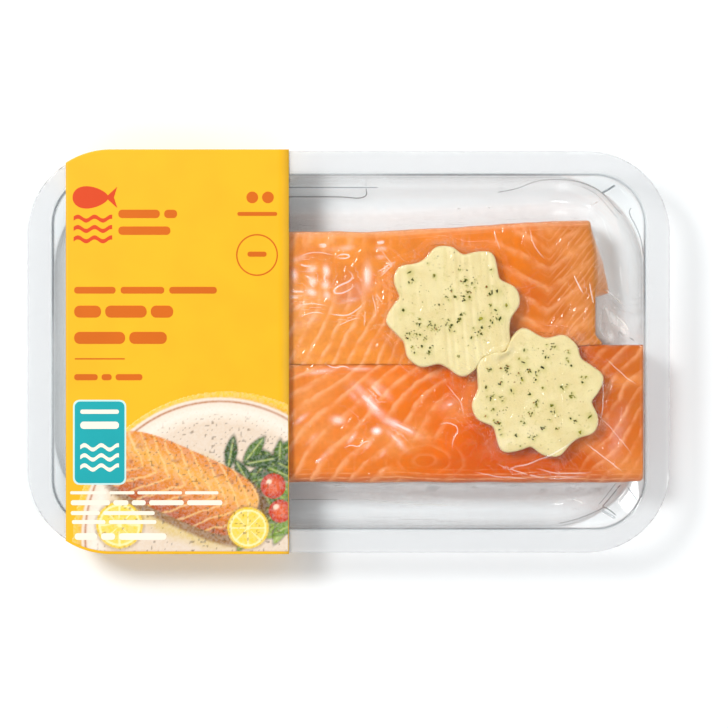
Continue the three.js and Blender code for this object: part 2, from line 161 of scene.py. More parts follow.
def cut_corners(rows, rounds):
    """Rounds off a chain of rows by cutting each corner, with the two end rows kept."""
    rows = np.asarray(rows, float)
    for _ in range(rounds):
        first, second = rows[:-1], rows[1:]
        cut = np.empty((2 * len(first), rows.shape[1]))
        cut[0::2] = first * 0.75 + second * 0.25
        cut[1::2] = first * 0.25 + second * 0.75
        rows = np.vstack([rows[:1], cut, rows[-1:]])
    return rows


def in_oval(x, y, middle_x, middle_y, half_long, half_wide, turn):
    """How far along and across a turned oval points lie, as shares of its half lengths."""
    along = ((x - middle_x) * cos(turn) + (y - middle_y) * sin(turn)) / half_long
    across = (-(x - middle_x) * sin(turn) + (y - middle_y) * cos(turn)) / half_wide
    return along, across


def blob(x, y, *oval, power=2.0):
    """Below 1 inside a rounded shape, the squarer the higher the power, with the shares along and across."""
    along, across = in_oval(x, y, *oval)
    return (np.abs(along) ** power + np.abs(across) ** power) ** (1 / power), along, across


def soft_patches(patches, x, y):
    """The strength of each of a list of soft oval patches, at each point."""
    for *oval, strength in patches:
        along, across = in_oval(x, y, *oval)
        yield strength * np.exp(-(along ** 2 + across ** 2))


def over(colours, colour, mask):
    """A linear colour laid over others, as far as the mask says at each point."""
    mask = np.clip(mask, 0, 1)[:, None]
    return colours * (1 - mask) + np.asarray(colour) * mask


def painted(colours, layers):
    """Display colours laid over linear ones in turn, each with its own mask."""
    for tone, mask in layers:
        colours = over(colours, srgb(*tone), mask)
    return colours


# Meshes

def new_object(name, data):
    made = bpy.data.objects.new(name, data)
    bpy.context.scene.collection.objects.link(made)
    return made


def mesh_piece(name, vertices, faces, material, replaces=()):
    """A smooth piece from millimetre points, riding on the pack."""
    mesh = bpy.data.meshes.new(name)
    mesh.from_pydata((np.asarray(vertices, float) * MM).tolist(), [], [list(map(int, f)) for f in faces])
    mesh.validate()
    mesh.shade_smooth()
    piece = new_object(name, mesh)
    mesh.materials.append(material)
    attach(piece, BODY)
    if replaces:
        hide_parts(*replaces)
    return piece


def paint(piece, name, values):
    """Stores a number, or a linear colour, at each of a piece's points."""
    values = np.asarray(values, np.float32)
    kind = "FLOAT" if values.ndim == 1 else "FLOAT_COLOR"
    attribute = piece.data.attributes.new(name, kind, "POINT")
    if values.ndim == 1:
        attribute.data.foreach_set("value", values)
    else:
        opaque = np.hstack([values, np.ones((len(values), 1), np.float32)])
        attribute.data.foreach_set("color", opaque.ravel())


def ring_faces(rings, size):
    """Quads between rings of equal size, outward where the rings run anticlockwise and climb."""
    rows = np.arange(rings - 1)[:, None] * size
    here = np.arange(size)[None, :]
    after = (here + 1) % size
    quads = np.stack([rows + here, rows + after, rows + size + after, rows + size + here], axis=-1)
    return quads.reshape(-1, 4).tolist()


def loft(rings):
    """Points and faces of a closed body through rings, from its underside up and over."""
    rings = [np.asarray(ring, float) for ring in rings]
    size = len(rings[0])
    faces = ring_faces(len(rings), size)
    faces.append(list(range(size))[::-1])
    faces.append(list(range((len(rings) - 1) * size, len(rings) * size)))
    return np.vstack(rings), faces


def join(points, faces, part):
    """Adds the points and faces of a part to a piece's own."""
    part_points, part_faces = part
    faces += [[index + len(points) for index in face] for face in part_faces]
    points += part_points.tolist()


def closed_sheet(lower, upper, quads):
    """A body between two layers of a grid, from some of its quads, and which of its points they use."""
    count = len(lower)
    edges = set()
    for quad in quads.tolist():
        for a, b in zip(quad, quad[1:] + quad[:1]):
            if (b, a) in edges:
                edges.remove((b, a))
            else:
                edges.add((a, b))
    rim = [[a, b, b + count, a + count] for a, b in sorted(edges)]
    faces = np.vstack([quads + count, quads[:, ::-1], rim])
    used, faces = np.unique(faces, return_inverse=True)
    return np.vstack([lower, upper])[used], faces.reshape(-1, 4).tolist(), used


def grid_quads(rows, columns):
    here = (np.arange(rows - 1)[:, None] * columns + np.arange(columns - 1)[None, :]).ravel()
    return np.column_stack([here, here + 1, here + columns + 1, here + columns])


def with_height(points, z):
    return np.column_stack([points, np.broadcast_to(z, len(points))])


# Materials

class Look:
    """A material and short ways to add nodes to it."""

    def __init__(self, name):
        self.material = bpy.data.materials.new(name)
        self.material.use_nodes = True
        self.tree = self.material.node_tree
        self.shader = self.tree.nodes["Principled BSDF"]
        self.output = self.tree.nodes["Material Output"]

    def add(self, kind, inputs=None, **settings):
        node = self.tree.nodes.new(kind)
        for key, value in settings.items():
            setattr(node, key, value)
        self.wire(node, inputs or {})
        return node

    def wire(self, node, inputs):
        for key, value in inputs.items():
            if isinstance(value, bpy.types.NodeSocket):
                self.tree.links.new(value, node.inputs[key])
            else:
                node.inputs[key].default_value = value

    def finish(self, **inputs):
        self.wire(self.shader, {key.replace("_", " "): value for key, value in inputs.items()})
        return self.material

    def math(self, operation, a, b=0.0, clamp=False):
        return self.add("ShaderNodeMath", {0: a, 1: b}, operation=operation, use_clamp=clamp).outputs[0]

    def times(self, a, b):
        return self.math("MULTIPLY", a, b)

    def plus(self, a, b):
        return self.math("ADD", a, b)

    def highest(self, a, b, clamp=False):
        return self.math("MAXIMUM", a, b, clamp)

    def from_half(self, value):
        return self.math("ABSOLUTE", self.math("SUBTRACT", value, 0.5))

    def mixed(self, share, first, second):
        """Two shaders, the second by its share."""
        return self.add("ShaderNodeMixShader", {0: share, 1: first.outputs[0], 2: second.outputs[0]})

    def number(self, name):
        return self.add("ShaderNodeAttribute", attribute_name=name).outputs["Fac"]

    def colour(self, name):
        return self.add("ShaderNodeAttribute", attribute_name=name).outputs["Color"]

    def place(self, stretch):
        """The point on the piece, in millimetres, with each axis stretched."""
        where = self.add("ShaderNodeTexCoord").outputs["Object"]
        scale = tuple(s / MM for s in stretch)
        return self.add("ShaderNodeVectorMath", {0: where, 1: scale}, operation="MULTIPLY").outputs[0]

    def noise(self, cell, detail, rough=0.5, stretch=(1, 1, 1)):
        """Noise from 0 to 1 with hills about one cell of millimetres across."""
        inputs = {"Vector": self.place(stretch), "Scale": 1 / cell, "Detail": detail, "Roughness": rough}
        return self.add("ShaderNodeTexNoise", inputs).outputs["Fac"]

    def between(self, value, low, high, to_low=0.0, to_high=1.0):
        inputs = {"Value": value, "From Min": low, "From Max": high, "To Min": to_low, "To Max": to_high}
        return self.add("ShaderNodeMapRange", inputs, interpolation_type="SMOOTHSTEP").outputs[0]

    def blend(self, factor, first, second):
        """One colour turning into another."""
        first, second = ((*colour, 1) if isinstance(colour, tuple) else colour for colour in (first, second))
        return self.add("ShaderNodeMix", {0: factor, 6: first, 7: second}, data_type="RGBA").outputs[2]

    def bump(self, height, distance, strength):
        inputs = {"Height": height, "Distance": distance * MM, "Strength": strength}
        return self.add("ShaderNodeBump", inputs).outputs[0]


def thin_sheet(look, tint, shadow_tint, normal, haze, haze_tint, reflectance, roughness):
    """Clear sheet too thin to bend the light: what lies behind it, under its own gloss and haze."""
    look.tree.nodes.remove(look.shader)
    clear = look.add("ShaderNodeBsdfTransparent", {"Color": tint})
    milky = look.add("ShaderNodeBsdfDiffuse", {"Color": haze_tint})
    white = (1, 1, 1, 1)
    gloss = look.add("ShaderNodeBsdfGlossy", {"Color": white, "Roughness": roughness, "Normal": normal})
    facing = look.add("ShaderNodeLayerWeight", {"Blend": 0.5, "Normal": normal}).outputs["Facing"]
    share = look.plus(look.times(look.math("POWER", facing, 5), 1 - reflectance), reflectance)
    seen = look.mixed(share, look.mixed(haze, clear, milky), gloss)
    shadow = look.add("ShaderNodeBsdfTransparent", {"Color": shadow_tint})
    is_shadow = look.add("ShaderNodeLightPath").outputs["Is Shadow Ray"]
    look.wire(look.output, {"Surface": look.mixed(is_shadow, seen, shadow).outputs[0]})
    return look.material


def clear_plastic():
    """Clear thermoformed plastic, faintly rippled, with painted shade in dark lines along its folded edges.
    """
    look = Look("clear_tray")
    shade = look.number("shade")
    clear = look.blend(shade, (0.984, 0.997, 1.0), (0.985, 0.992, 0.995))
    return thin_sheet(
        look,
        # Painted shade: the edge attribute darkens what shows through in lines along the tray's bends, and on
        # the flange it holds a faint tint.
        tint=look.blend(look.number("edge"), clear, (0.35, 0.37, 0.39)),
        shadow_tint=look.blend(shade, (0.985, 0.985, 0.985), (0.75, 0.75, 0.75)),
        normal=look.bump(look.noise(9, 1), 0.25, 0.5),
        haze=look.between(shade, 0.0, 1.0, 0.03, 0.27),
        haze_tint=(0.8, 0.8, 0.81, 1),
        reflectance=0.02,
        roughness=0.05,
    )


def skin_film():
    """Thin clear film: see-through, with a gloss that its creases break up, and painted highlights and
    painted shade along fold lines, tension rays and glints.
    """
    look = Look("clear_film")
    fine = look.from_half(look.noise(4.5, 1.5, 0.5, (1, 0.6, 1)))
    ridge = look.times(look.between(fine, 0.06, 0.0), look.number("crumple"))
    ridge = look.times(ridge, look.between(look.noise(16, 2), 0.42, 0.62))
    crease = look.between(look.math("ABSOLUTE", look.number("fold")), 1.0, 0.2)
    pale = look.times(crease, look.number("fold_highlight"))
    dark = look.times(crease, look.number("fold_shade"))
    inputs = {"Vector": look.colour("ray"), "Scale": 1.0, "Detail": 2.0}
    rays = look.add("ShaderNodeTexNoise", inputs).outputs["Fac"]
    rays = look.times(look.between(look.from_half(rays), 0.045, 0.0), look.number("ray_amount"))
    height = look.plus(look.plus(ridge, look.times(rays, 0.5)), look.plus(pale, dark))
    # Painted shade: dark fold lines and the crinkles along the fish's foot dim what shows through.
    shaded = look.highest(dark, look.number("painted_foot_shade"))
    # Painted highlights: pale fold lines, tension rays and glints, as milky haze.
    haze = look.highest(look.times(pale, 0.42), look.times(rays, 0.06))
    return thin_sheet(
        look,
        tint=look.blend(shaded, (0.993, 0.993, 0.993), (0.5, 0.5, 0.5)),
        shadow_tint=(0.985, 0.985, 0.985, 1),
        normal=look.bump(height, 0.2, 0.8),
        haze=look.highest(haze, look.number("glint"), clamp=True),
        haze_tint=(1, 0.99, 0.97, 1),
        reflectance=0.022,
        roughness=0.09,
    )


FAT = srgb(255, 190, 138)
LINE_FAMILIES = 4


def salmon_flesh(name):
    """Raw fish: orange flesh between pale lines of fat, each family of lines with its own field."""
    look = Look(name)
    grain = look.noise(2.2, 4, 0.6)
    flesh = look.blend(look.between(grain, 0.3, 0.75, 0, 0.35), look.colour("flesh"), (0.62, 0.18, 0.03))
    lines = 0.0
    wander = look.times(look.math("SUBTRACT", look.noise(4, 3, 0.6), 0.5), 0.35)
    for family in range(LINE_FAMILIES):
        # Each line starts sharply and fades away over half the way to the next.
        share = look.math("FRACT", look.plus(look.number(f"line_{family}"), wander))
        fade = look.math("POWER", look.between(share, 0.55, 0.0), 2.8)
        line = look.highest(look.between(share, 0.82, 1.0), fade)
        lines = look.highest(lines, look.times(line, look.number(f"amount_{family}")))
    broken = look.times(lines, look.between(look.noise(5, 2), 0.3, 0.6, 0.2, 1))
    relief = look.plus(look.times(broken, -0.5), look.times(grain, 0.5))
    return look.finish(
        Base_Color=look.blend(broken, flesh, FAT), Normal=look.bump(relief, 0.2, 0.6),
        Roughness=0.36, IOR=1.4, Specular_IOR_Level=0.2,
        Subsurface_Weight=0.22, Subsurface_Radius=(1.0, 0.35, 0.15), Subsurface_Scale=2.5 * MM,
    )


def herb_butter():
    """Pale yellow butter with faint cloudy specks under its surface."""
    look = Look("herb_butter")
    cloud = look.between(look.noise(6, 3), 0.3, 0.7)
    base = look.blend(cloud, srgb(240, 226, 172), srgb(233, 216, 158))
    deep = look.between(look.noise(1.6, 2), 0.6, 0.76, 0, 0.5)
    base = look.blend(deep, base, srgb(204, 192, 118))
    base = look.blend(look.number("stain"), base, srgb(188, 184, 84))
    return look.finish(
        Base_Color=base, Normal=look.bump(look.noise(2.5, 4), 0.26, 0.6), Roughness=0.42,
        Subsurface_Weight=0.2, Subsurface_Radius=(1.0, 0.8, 0.4), Subsurface_Scale=2 * MM,
    )


def herbs():
    """Dull leaf, in each flake's own green."""
    look = Look("herbs")
    return look.finish(Base_Color=look.colour("leaf"), Roughness=0.55, Specular_IOR_Level=0.12)


INK_MOTTLE = 0.06


def coated_paper(name, *tone):
    """Smooth printed paper in one ink, faintly mottled, bare paper painted a shaded grey where its attribute
    says so.
    """
    look = Look(name)
    colour = srgb(*tone)
    mottled = tuple(c * (1 - INK_MOTTLE) for c in colour)
    ink = look.blend(look.between(look.noise(18, 2), 0.3, 0.7), colour, mottled)
    ink = look.blend(look.number("bare"), ink, (0.6, 0.6, 0.6))
    grain = look.bump(look.noise(0.6, 2), 0.02, 0.3)
    return look.finish(Base_Color=ink, Roughness=0.4, Specular_IOR_Level=0.35, Normal=grain)


def printed_picture():
    """The picture's own colours under faint pale dots."""
    look = Look("label_picture")
    dots = look.between(look.noise(0.9, 2), 0.35, 0.65, 0.0, 0.12)
    return look.finish(Base_Color=look.blend(dots, look.colour("print"), (1, 1, 1)), Roughness=0.4)


# The tray

FLANGE_TINT = 0.03
TRAY_STEPS = (22, 64, 40)


def mouth_level(inset, z, radius, line=0.0):
    """A ring of the tray inside its mouth: half length, half width, corner radius, height, and how dark the
    painted shade line along it is.
    """
    return (MOUTH_HALF_LENGTH - inset, MOUTH_HALF_WIDTH - inset, radius, z, line)


def flange_level(inset, z, line=0.0):
    return (FLANGE_HALF_LENGTH - inset, FLANGE_HALF_WIDTH - inset, FLANGE_RADIUS - inset, z, line)


LEDGE_Z = FLANGE_Z - LEDGE_DROP
# The tray's upper face, from the flange's outer edge in to the ledge, and from there down to the floor.
# Each level's last number is the darkness of a painted shade line along that bend.
RIM = [
    flange_level(0, FLANGE_Z - 0.75, 0.25),
    flange_level(0, FLANGE_Z - 0.2, 0.2),
    flange_level(0.25, FLANGE_Z, 0.05),
    flange_level(1.4, FLANGE_Z),
    mouth_level(-0.9, FLANGE_Z, MOUTH_RADIUS + 0.9),
    mouth_level(-0.2, FLANGE_Z, MOUTH_RADIUS + 0.2, 0.1),
    mouth_level(0.1, FLANGE_Z - 0.35, MOUTH_RADIUS - 0.1, 1.3),
    mouth_level(0.3, FLANGE_Z - 1.2, MOUTH_RADIUS - 0.3, 1.0),
    mouth_level(0.4, LEDGE_Z + 0.5, MOUTH_RADIUS - 0.4, 0.2),
    mouth_level(0.55, LEDGE_Z, MOUTH_RADIUS + 0.4),
]
CAVITY = [
    mouth_level(0.6, LEDGE_Z, POCKET_RADIUS - 0.8),
    mouth_level(0.75, LEDGE_Z - 0.3, POCKET_RADIUS - 0.2, 0.4),
    mouth_level(0.95, LEDGE_Z - 1.2, POCKET_RADIUS, 0.3),
    mouth_level(2.4, (LEDGE_Z + FLOOR_Z) / 2, POCKET_RADIUS - 1, 0.03),
    mouth_level(3.9, FLOOR_Z + 3.2, POCKET_RADIUS - 2, 0.03),
    mouth_level(4.6, FLOOR_Z + 0.6, POCKET_RADIUS - 3, 0.1),
    mouth_level(7, FLOOR_Z, POCKET_RADIUS - 5),
    mouth_level(12, FLOOR_Z, POCKET_RADIUS - 10),
    mouth_level(30, FLOOR_Z, 14),
    mouth_level(55, FLOOR_Z, 5),
]


def sunk(level):
    """The level on the tray's other face."""
    half_length, half_width, radius, z, line = level
    spread = PLASTIC if FLOOR_Z + 0.3 < z < FLANGE_Z - 0.3 else 0
    return (half_length + spread, half_width + spread, radius + spread, z - PLASTIC, line * 0.3)


def build_tray(material):
    upper = np.vstack([cut_corners(RIM, 3), cut_corners(CAVITY, 3)])
    inner_rim = [level for level in upper if level[0] < FLANGE_HALF_LENGTH - 0.3]
    lower = np.array([sunk(level) for level in inner_rim])
    levels = np.vstack([lower[::-1], upper])
    rings = [with_height(rounded_rectangle(*level[:3], TRAY_STEPS), level[3]) for level in levels]
    points, faces = loft(rings)
    tray = mesh_piece("tray_shell", points, faces, material, ["tray"])
    size = len(points) // len(levels)
    # Painted shade: dark lines along the bends, varied along their length, and the flange's faint tint.
    line = np.repeat(levels[:, 4], size) * (0.8 + 0.4 * value_noise(points[:, 0], points[:, 1], 28, 91))
    flange = np.repeat(smoothstep(MOUTH_HALF_LENGTH + 0.2, MOUTH_HALF_LENGTH + 1.2, levels[:, 0]), size)
    paint(tray, "edge", np.clip(np.maximum(line, FLANGE_TINT * flange), 0, 1))
    paint(tray, "shade", flange)


def tray_heights(x, y):
    """The tray's upper face under each point of a grid."""
    mouth = rounded_distance(x, y, MOUTH_HALF_LENGTH, MOUTH_HALF_WIDTH, MOUTH_RADIUS)
    pocket = rounded_distance(x, y, MOUTH_HALF_LENGTH, MOUTH_HALF_WIDTH, POCKET_RADIUS)
    wall = np.interp(-pocket, [0.6, 0.95, 2.4, 3.9, 4.6, 7], [
        LEDGE_Z, LEDGE_Z - 1.2, (LEDGE_Z + FLOOR_Z) / 2, FLOOR_Z + 3.2, FLOOR_Z + 0.6, FLOOR_Z])
    inside = np.where(pocket > -0.6, LEDGE_Z, wall)
    return np.where(mouth > -0.4, FLANGE_Z, inside)


# Fine ridges moulded in the tray: the way each runs, half its width, and how dark its painted shade line
# shows.
RIDGES = [
    ([(-60, 59.5), (-20, 59.6), (-4, 59.55), (10.5, 59.5)], 0.2, 0.6),
    ([(-60, 56.3), (-20, 56.3), (-1, 56.3), (3.4, 55.6), (6.6, 56.6), (6.2, 59.2)], 0.2, 0.7),
    ([(54, 57.9), (61.7, 59.3), (65, 60.8), (68.5, 61.7), (73, 62), (79.2, 61.8), (85, 60.4), (91, 57.4),
      (98.2, 49.3)], 0.18, 0.5),
    ([(84, 59.6), (90, 56.6), (97, 48.4)], 0.15, 0.3),
    ([(90.6, 57.0), (92.4, 57.6), (95.4, 59.8)], 0.2, 0.7),
    ([(101.2, 51.6), (100.3, 49.8), (103.2, 44.7), (105, 40), (105.7, 34)], 0.18, 0.5),
    ([(75.6, -61.8), (82.8, -60.2), (90, -57), (91.7, -55.9)], 0.18, 0.55),
    ([(91.2, -55.6), (93.2, -56.4), (95.8, -58.6)], 0.2, 0.7),
    ([(91.2, -55.8), (94.2, -52.7), (98, -48)], 0.2, 0.75),
    ([(90.2, -55.2), (93.1, -52.2), (96.6, -47.6)], 0.15, 0.5),
    ([(100.3, -48.8), (101.6, -50.8), (103.2, -52.9)], 0.18, 0.6),
    ([(-21, -53.6), (-4, -53.6)], 0.15, 0.25),
]


def build_ridges(material):
    """Each ridge is a fine bead that follows the tray's upper face and tapers to both ends."""
    points, faces, darkness = [], [], []
    angles = np.arange(8) / 8 * 2 * pi
    for path, half_width, dark in RIDGES:
        path = cut_corners(path, 3)
        tangent = np.gradient(path, axis=0)
        tangent /= np.hypot(*tangent.T)[:, None]
        rings = []
        for step, (place, along) in enumerate(zip(path, tangent)):
            reach = half_width * min(1, 0.25 + step / 4, 0.25 + (len(path) - 1 - step) / 4)
            side = np.array([-along[1], along[0]])
            ring = place + reach * np.cos(angles)[:, None] * side
            rings.append(with_height(ring, tray_heights(*place) + 0.1 + reach * np.sin(angles)))
        join(points, faces, loft(rings))
        darkness += [dark] * (len(points) - len(darkness))
    ridges = mesh_piece("tray_ridges", points, faces, material)
    # Painted shade: each ridge shows as a dark line.
    paint(ridges, "edge", darkness)
    paint(ridges, "shade", np.zeros(len(points)))


RIBS = {"x": 93.2, "y": 58.3, "turn": pi / 6, "length": 5.4, "width": 0.9, "height": 0.8}


def build_ribs(material):
    """A short bar moulded on each corner's ledge, with rounded ends."""
    points, faces = [], []
    for sign_x, sign_y in ((1, 1), (-1, 1), (-1, -1), (1, -1)):
        turn = sign_x * sign_y * RIBS["turn"]
        rings = []
        for inset, z in ((0.1, -0.25), (0, 0), (0, 0.55), (0.15, 0.75), (0.4, RIBS["height"])):
            half_length, half_width = RIBS["length"] / 2 - inset, RIBS["width"] / 2 - inset / 2
            plan = rounded_rectangle(half_length, half_width, half_width * 0.95, (5, 6, 1))
            x = plan[:, 0] * cos(turn) - plan[:, 1] * sin(turn) + sign_x * RIBS["x"]
            y = plan[:, 0] * sin(turn) + plan[:, 1] * cos(turn) + sign_y * RIBS["y"]
            rings.append(np.column_stack([x, y, np.full(len(x), LEDGE_Z + z)]))
        join(points, faces, loft(rings))
    ribs = mesh_piece("tray_ribs", points, faces, material)
    # Painted shade: the bars show as dark marks.
    paint(ribs, "edge", np.full(len(points), 0.25))
    paint(ribs, "shade", np.zeros(len(points)))


# The fish

THICKEST_X = 30
SEAM_Y = -4.5
BACK_EDGE_Y = 45
FRONT_EDGE_Y = -47
SEAM_RISE = 6.9
SEAM_WAVE = 0.3
# The portions overlap by this much along the seam.
SEAM_GAP = -0.4
BACK_END_X = 88.7
FRONT_END_X = 102.4
TOE_REACH = 5.4


def seam_y(x):
    """The seam between the portions, which wavers and bends back towards the right."""
    return SEAM_Y + SEAM_RISE * smoothstep(20, 92, x) + SEAM_WAVE * value_noise(x, 0, 8, 109)


def fish_thickness(x, y):
    """Least towards the fish's ends and long edges, but for the front portion's right corner."""
    fall = 0.6 * ((x - THICKEST_X) / 90) ** 2 + 0.5 * (y / BACK_EDGE_Y) ** 2
    return THICKNESS - fall + 0.9 * smoothstep(84, 98, x) * smoothstep(-26, -40, y)


def back_right_end(across, share):
    """Where the back portion ends, with a toe that runs out at its foot."""
    toe = TOE_REACH * np.clip((0.97 - across) / 1.11, 0, 1) * smoothstep(-0.24, -0.14, across)
    top = BACK_END_X - 1.8 * smoothstep(0.3, 1, across) + 2.8 * smoothstep(0.8, 1, -across)
    return top + toe * (1 - smoothstep(0.35, 0.97, share))


def front_right_end(across, share):
    """Where the front portion ends, leaning out with the tray's wall."""
    return FRONT_END_X + 6 * share - 2.2 * smoothstep(0.6, 1, -across)


PORTIONS = {
    "back": {
        "seam_side": -1,
        "left": -84,
        "left_radius": 8,
        "right_radius": 1.4,
        "right": back_right_end,
        "outer": lambda x: BACK_EDGE_Y - 1.8 + 4 * smoothstep(0, 90, x) - 1.5 * smoothstep(30, 84, -x),
        "inner": lambda x: seam_y(x) + SEAM_GAP / 2,
    },
    "front": {
        "seam_side": 1,
        "left": -72,
        "left_radius": 10,
        "right_radius": 1.6,
        "right": front_right_end,
        "outer": lambda x: FRONT_EDGE_Y + 1.2 * smoothstep(20, 72, -x),
        "inner": lambda x: seam_y(x) - SEAM_GAP / 2,
    },
}
# From the underside over the edge to the top: how far in, and the share of the thickness.
EDGE_PROFILE = [
    (3.0, 0), (0.8, 0.04), (0.1, 0.2), (0, 0.5), (0, 0.8), (0.35, 0.93), (1.2, 0.985), (3, 0.997), (7, 1),
]
TOP_STEP = 0.6
PORTION_STEPS = (8, 210, 60)
WALL_CLEARANCE = 0.1


def pressed_in(x, y, z):
    """Points of the fish, drawn in where the tray's wall would be in their way."""
    depth = FLANGE_Z - z
    wall = np.interp(depth, [LEDGE_DROP, LEDGE_DROP + 0.3, 16.8, 21.2], [0.45, 0.75, 3.9, 7])
    inset = WALL_CLEARANCE + wall
    pocket_radius = np.interp(depth, [3, 16, 21.2], [POCKET_RADIUS, 31, 28])
    radius = np.where(depth > LEDGE_DROP - 0.3, pocket_radius, MOUTH_RADIUS)
    half_length, half_width = MOUTH_HALF_LENGTH - inset, MOUTH_HALF_WIDTH - inset
    centre_x, centre_y = np.sign(x) * (half_length - radius), np.sign(y) * (half_width - radius)
    arm_x, arm_y = x - centre_x, y - centre_y
    in_corner = (arm_x * centre_x > 0) & (arm_y * centre_y > 0)
    shrink = np.where(in_corner, np.minimum(1, radius / np.maximum(np.hypot(arm_x, arm_y), 0.001)), 1)
    return np.clip(centre_x + arm_x * shrink, -half_length, half_length), centre_y + arm_y * shrink


def half_width_of(portion):
    return abs(portion["outer"](0) - portion["inner"](0)) / 2


def portion_ring(portion, inset, share):
    """A portion's outline, drawn in by the inset, at a share of the thickness."""
    left, right = portion["left"], portion["right"]
    half_length = (right(0, 1) - left) / 2
    half_width = half_width_of(portion)
    right_radius = max(0.01, portion["right_radius"] - inset * 0.5)
    left_radius = max(0.01, portion["left_radius"] - inset)
    plan = rounded_rectangle(
        half_length - inset, half_width - inset, right_radius, PORTION_STEPS, left_radius)
    along = (plan[:, 0] / half_length + 1) / 2
    across = plan[:, 1] / half_width
    # The portions are pressed together, so each edge beside the seam is hardly rounded.
    pressed = min(inset, 2.5)
    to_seam = across * portion["seam_side"] > 0
    across = np.where(to_seam, across * (half_width - 0.2 * pressed) / (half_width - pressed), across)
    x = left + along * (right(across, share) - left)
    edges = np.sort([portion["inner"](x), portion["outer"](x)], axis=0)
    y = edges[0] + (edges[1] - edges[0]) * (across + 1) / 2
    outward = smoothstep(0.2, 0.9, np.abs(y - seam_y(x)) / 40)
    y = y + outward * 0.35 * fractal_noise(x + 9 * y, 7 * share, 12, 3) * (0.1 < share < 0.99)
    z = SALMON_Z + share * fish_thickness(x, y)
    return np.column_stack([*pressed_in(x, y, z), z])


def back_lines(x, y):
    """Fields of the back portion's fat lines: one whole number a line, and how strong."""
    wander = 0.8 * fractal_noise(x, y, 10, 101)
    leaning = x + 0.52 * np.maximum(0, 17 - y) + 0.02 * (x - 5) ** 2 * smoothstep(-5, 30, x) + wander
    strength = (0.55 + 0.25 * smoothstep(24, 16, y)) * smoothstep(34, 5, x) * smoothstep(33, 12, y)
    left = (leaning / 5.3, strength + 0.3 * bell(y, 40, 3) * smoothstep(28, 8, x))
    apex = 71.4 + 0.04 * (y - 20)
    bent = np.abs(x - apex)
    chevron = -y + np.where(x > apex, 0.85, 0.66) * bent - 0.008 * bent ** 2 + wander
    coarse = (chevron / 7.3, 0.42 * smoothstep(46, 58, x) * smoothstep(47, 42, y) * smoothstep(91, 82, x))
    fine = (-y + 1.35 * bent * np.where(x > apex, 1, 0.5) + wander) / 3.3
    right = (fine, 0.4 * smoothstep(66, 78, x) * smoothstep(47, 42, y))
    rise = y - PORTIONS["back"]["outer"](x)
    band = (rise / 1.5 + 0.4 * fractal_noise(x, y, 16, 105),
            0.4 * smoothstep(-4.5, -1.5, rise) * smoothstep(8, 24, x))
    return [left, coarse, right, band]


def front_lines(x, y):
    """The same for the front portion."""
    wander = 0.9 * fractal_noise(x, y, 11, 102)
    ovals = np.hypot((x - 27.3) * 0.62, (y + 39.3) * 1.05) + 1.3 * wander
    slanting = 0.77 * x - 0.64 * y - 0.02 * np.maximum(0, y + 22) ** 2 + 1.3 * np.sin((x + y) / 9) + wander
    away = smoothstep(42, 26, x) * smoothstep(6, 11, ovals)
    left = (slanting / 6.2, 0.62 * away)
    middle = (ovals / 3.1 + 0.25, 0.16 * smoothstep(12, 8, ovals))
    streaks = (0.8 * x - 0.6 * y + 0.8 * np.sin((x + y) / 6) + 1.8 * wander) / 4.6
    right = (streaks, (0.42 + 0.16 * value_noise(x, y, 7, 107)) * smoothstep(78, 92, x))
    rise = y - PORTIONS["front"]["outer"](x)
    band = (rise / 1.7 + 0.5 * fractal_noise(x, y, 18, 106), 0.5 * smoothstep(6.5, 2, rise))
    return [left, middle, right, band]


# How each portion's flesh changes colour along it.
TONES = {
    "back": [
        (-20, (244, 162, 76)), (10, (244, 152, 58)), (46, (236, 130, 36)), (60, (238, 128, 22)),
        (74, (216, 118, 40)), (90, (202, 124, 52)),
    ],
    "front": [
        (-20, (238, 140, 58)), (20, (238, 122, 26)), (45, (230, 98, 0)), (78, (205, 82, 0)),
        (103, (218, 116, 34)),
    ],
}
SIDE_TONE = (198, 108, 66)
END_TONE = (214, 128, 0)
# Pale soft patches, partly fat and partly painted highlights of the film's sheen: place, half lengths, turn
# and strength.
FAT_AND_HIGHLIGHT_PATCHES = [
    (-13.2, 25.3, 1.1, 6.5, 0, 0.55), (-8.2, 25.6, 1.2, 6.2, 0, 0.5), (6.6, 27.2, 1.5, 4.6, 0, 0.75),
    (-17.6, 21.7, 2.6, 1.0, 0, 0.5), (-19.2, 19.6, 2.4, 0.9, 0, 0.45), (-20, 39.2, 0.9, 3, -0.3, 0.6),
    (-13.9, 40.4, 1, 2.6, -0.4, 0.55), (-7.8, 38.8, 1, 3.6, -0.5, 0.5), (0.6, 39.2, 0.9, 2.8, -0.4, 0.45),
    (-4.0, -24.4, 2.4, 1.5, 0.2, 0.5), (8.5, -12.0, 1.2, 5.0, 0.9, 0.4), (-15, -13, 4, 1.0, 0.5, 0.35),
    (30.5, -8.2, 2.2, 1.2, 0.3, 0.35), (63, 43.6, 0.7, 3.4, 0.15, 0.45), (68.6, 43.4, 0.7, 3.2, 0.2, 0.35),
]


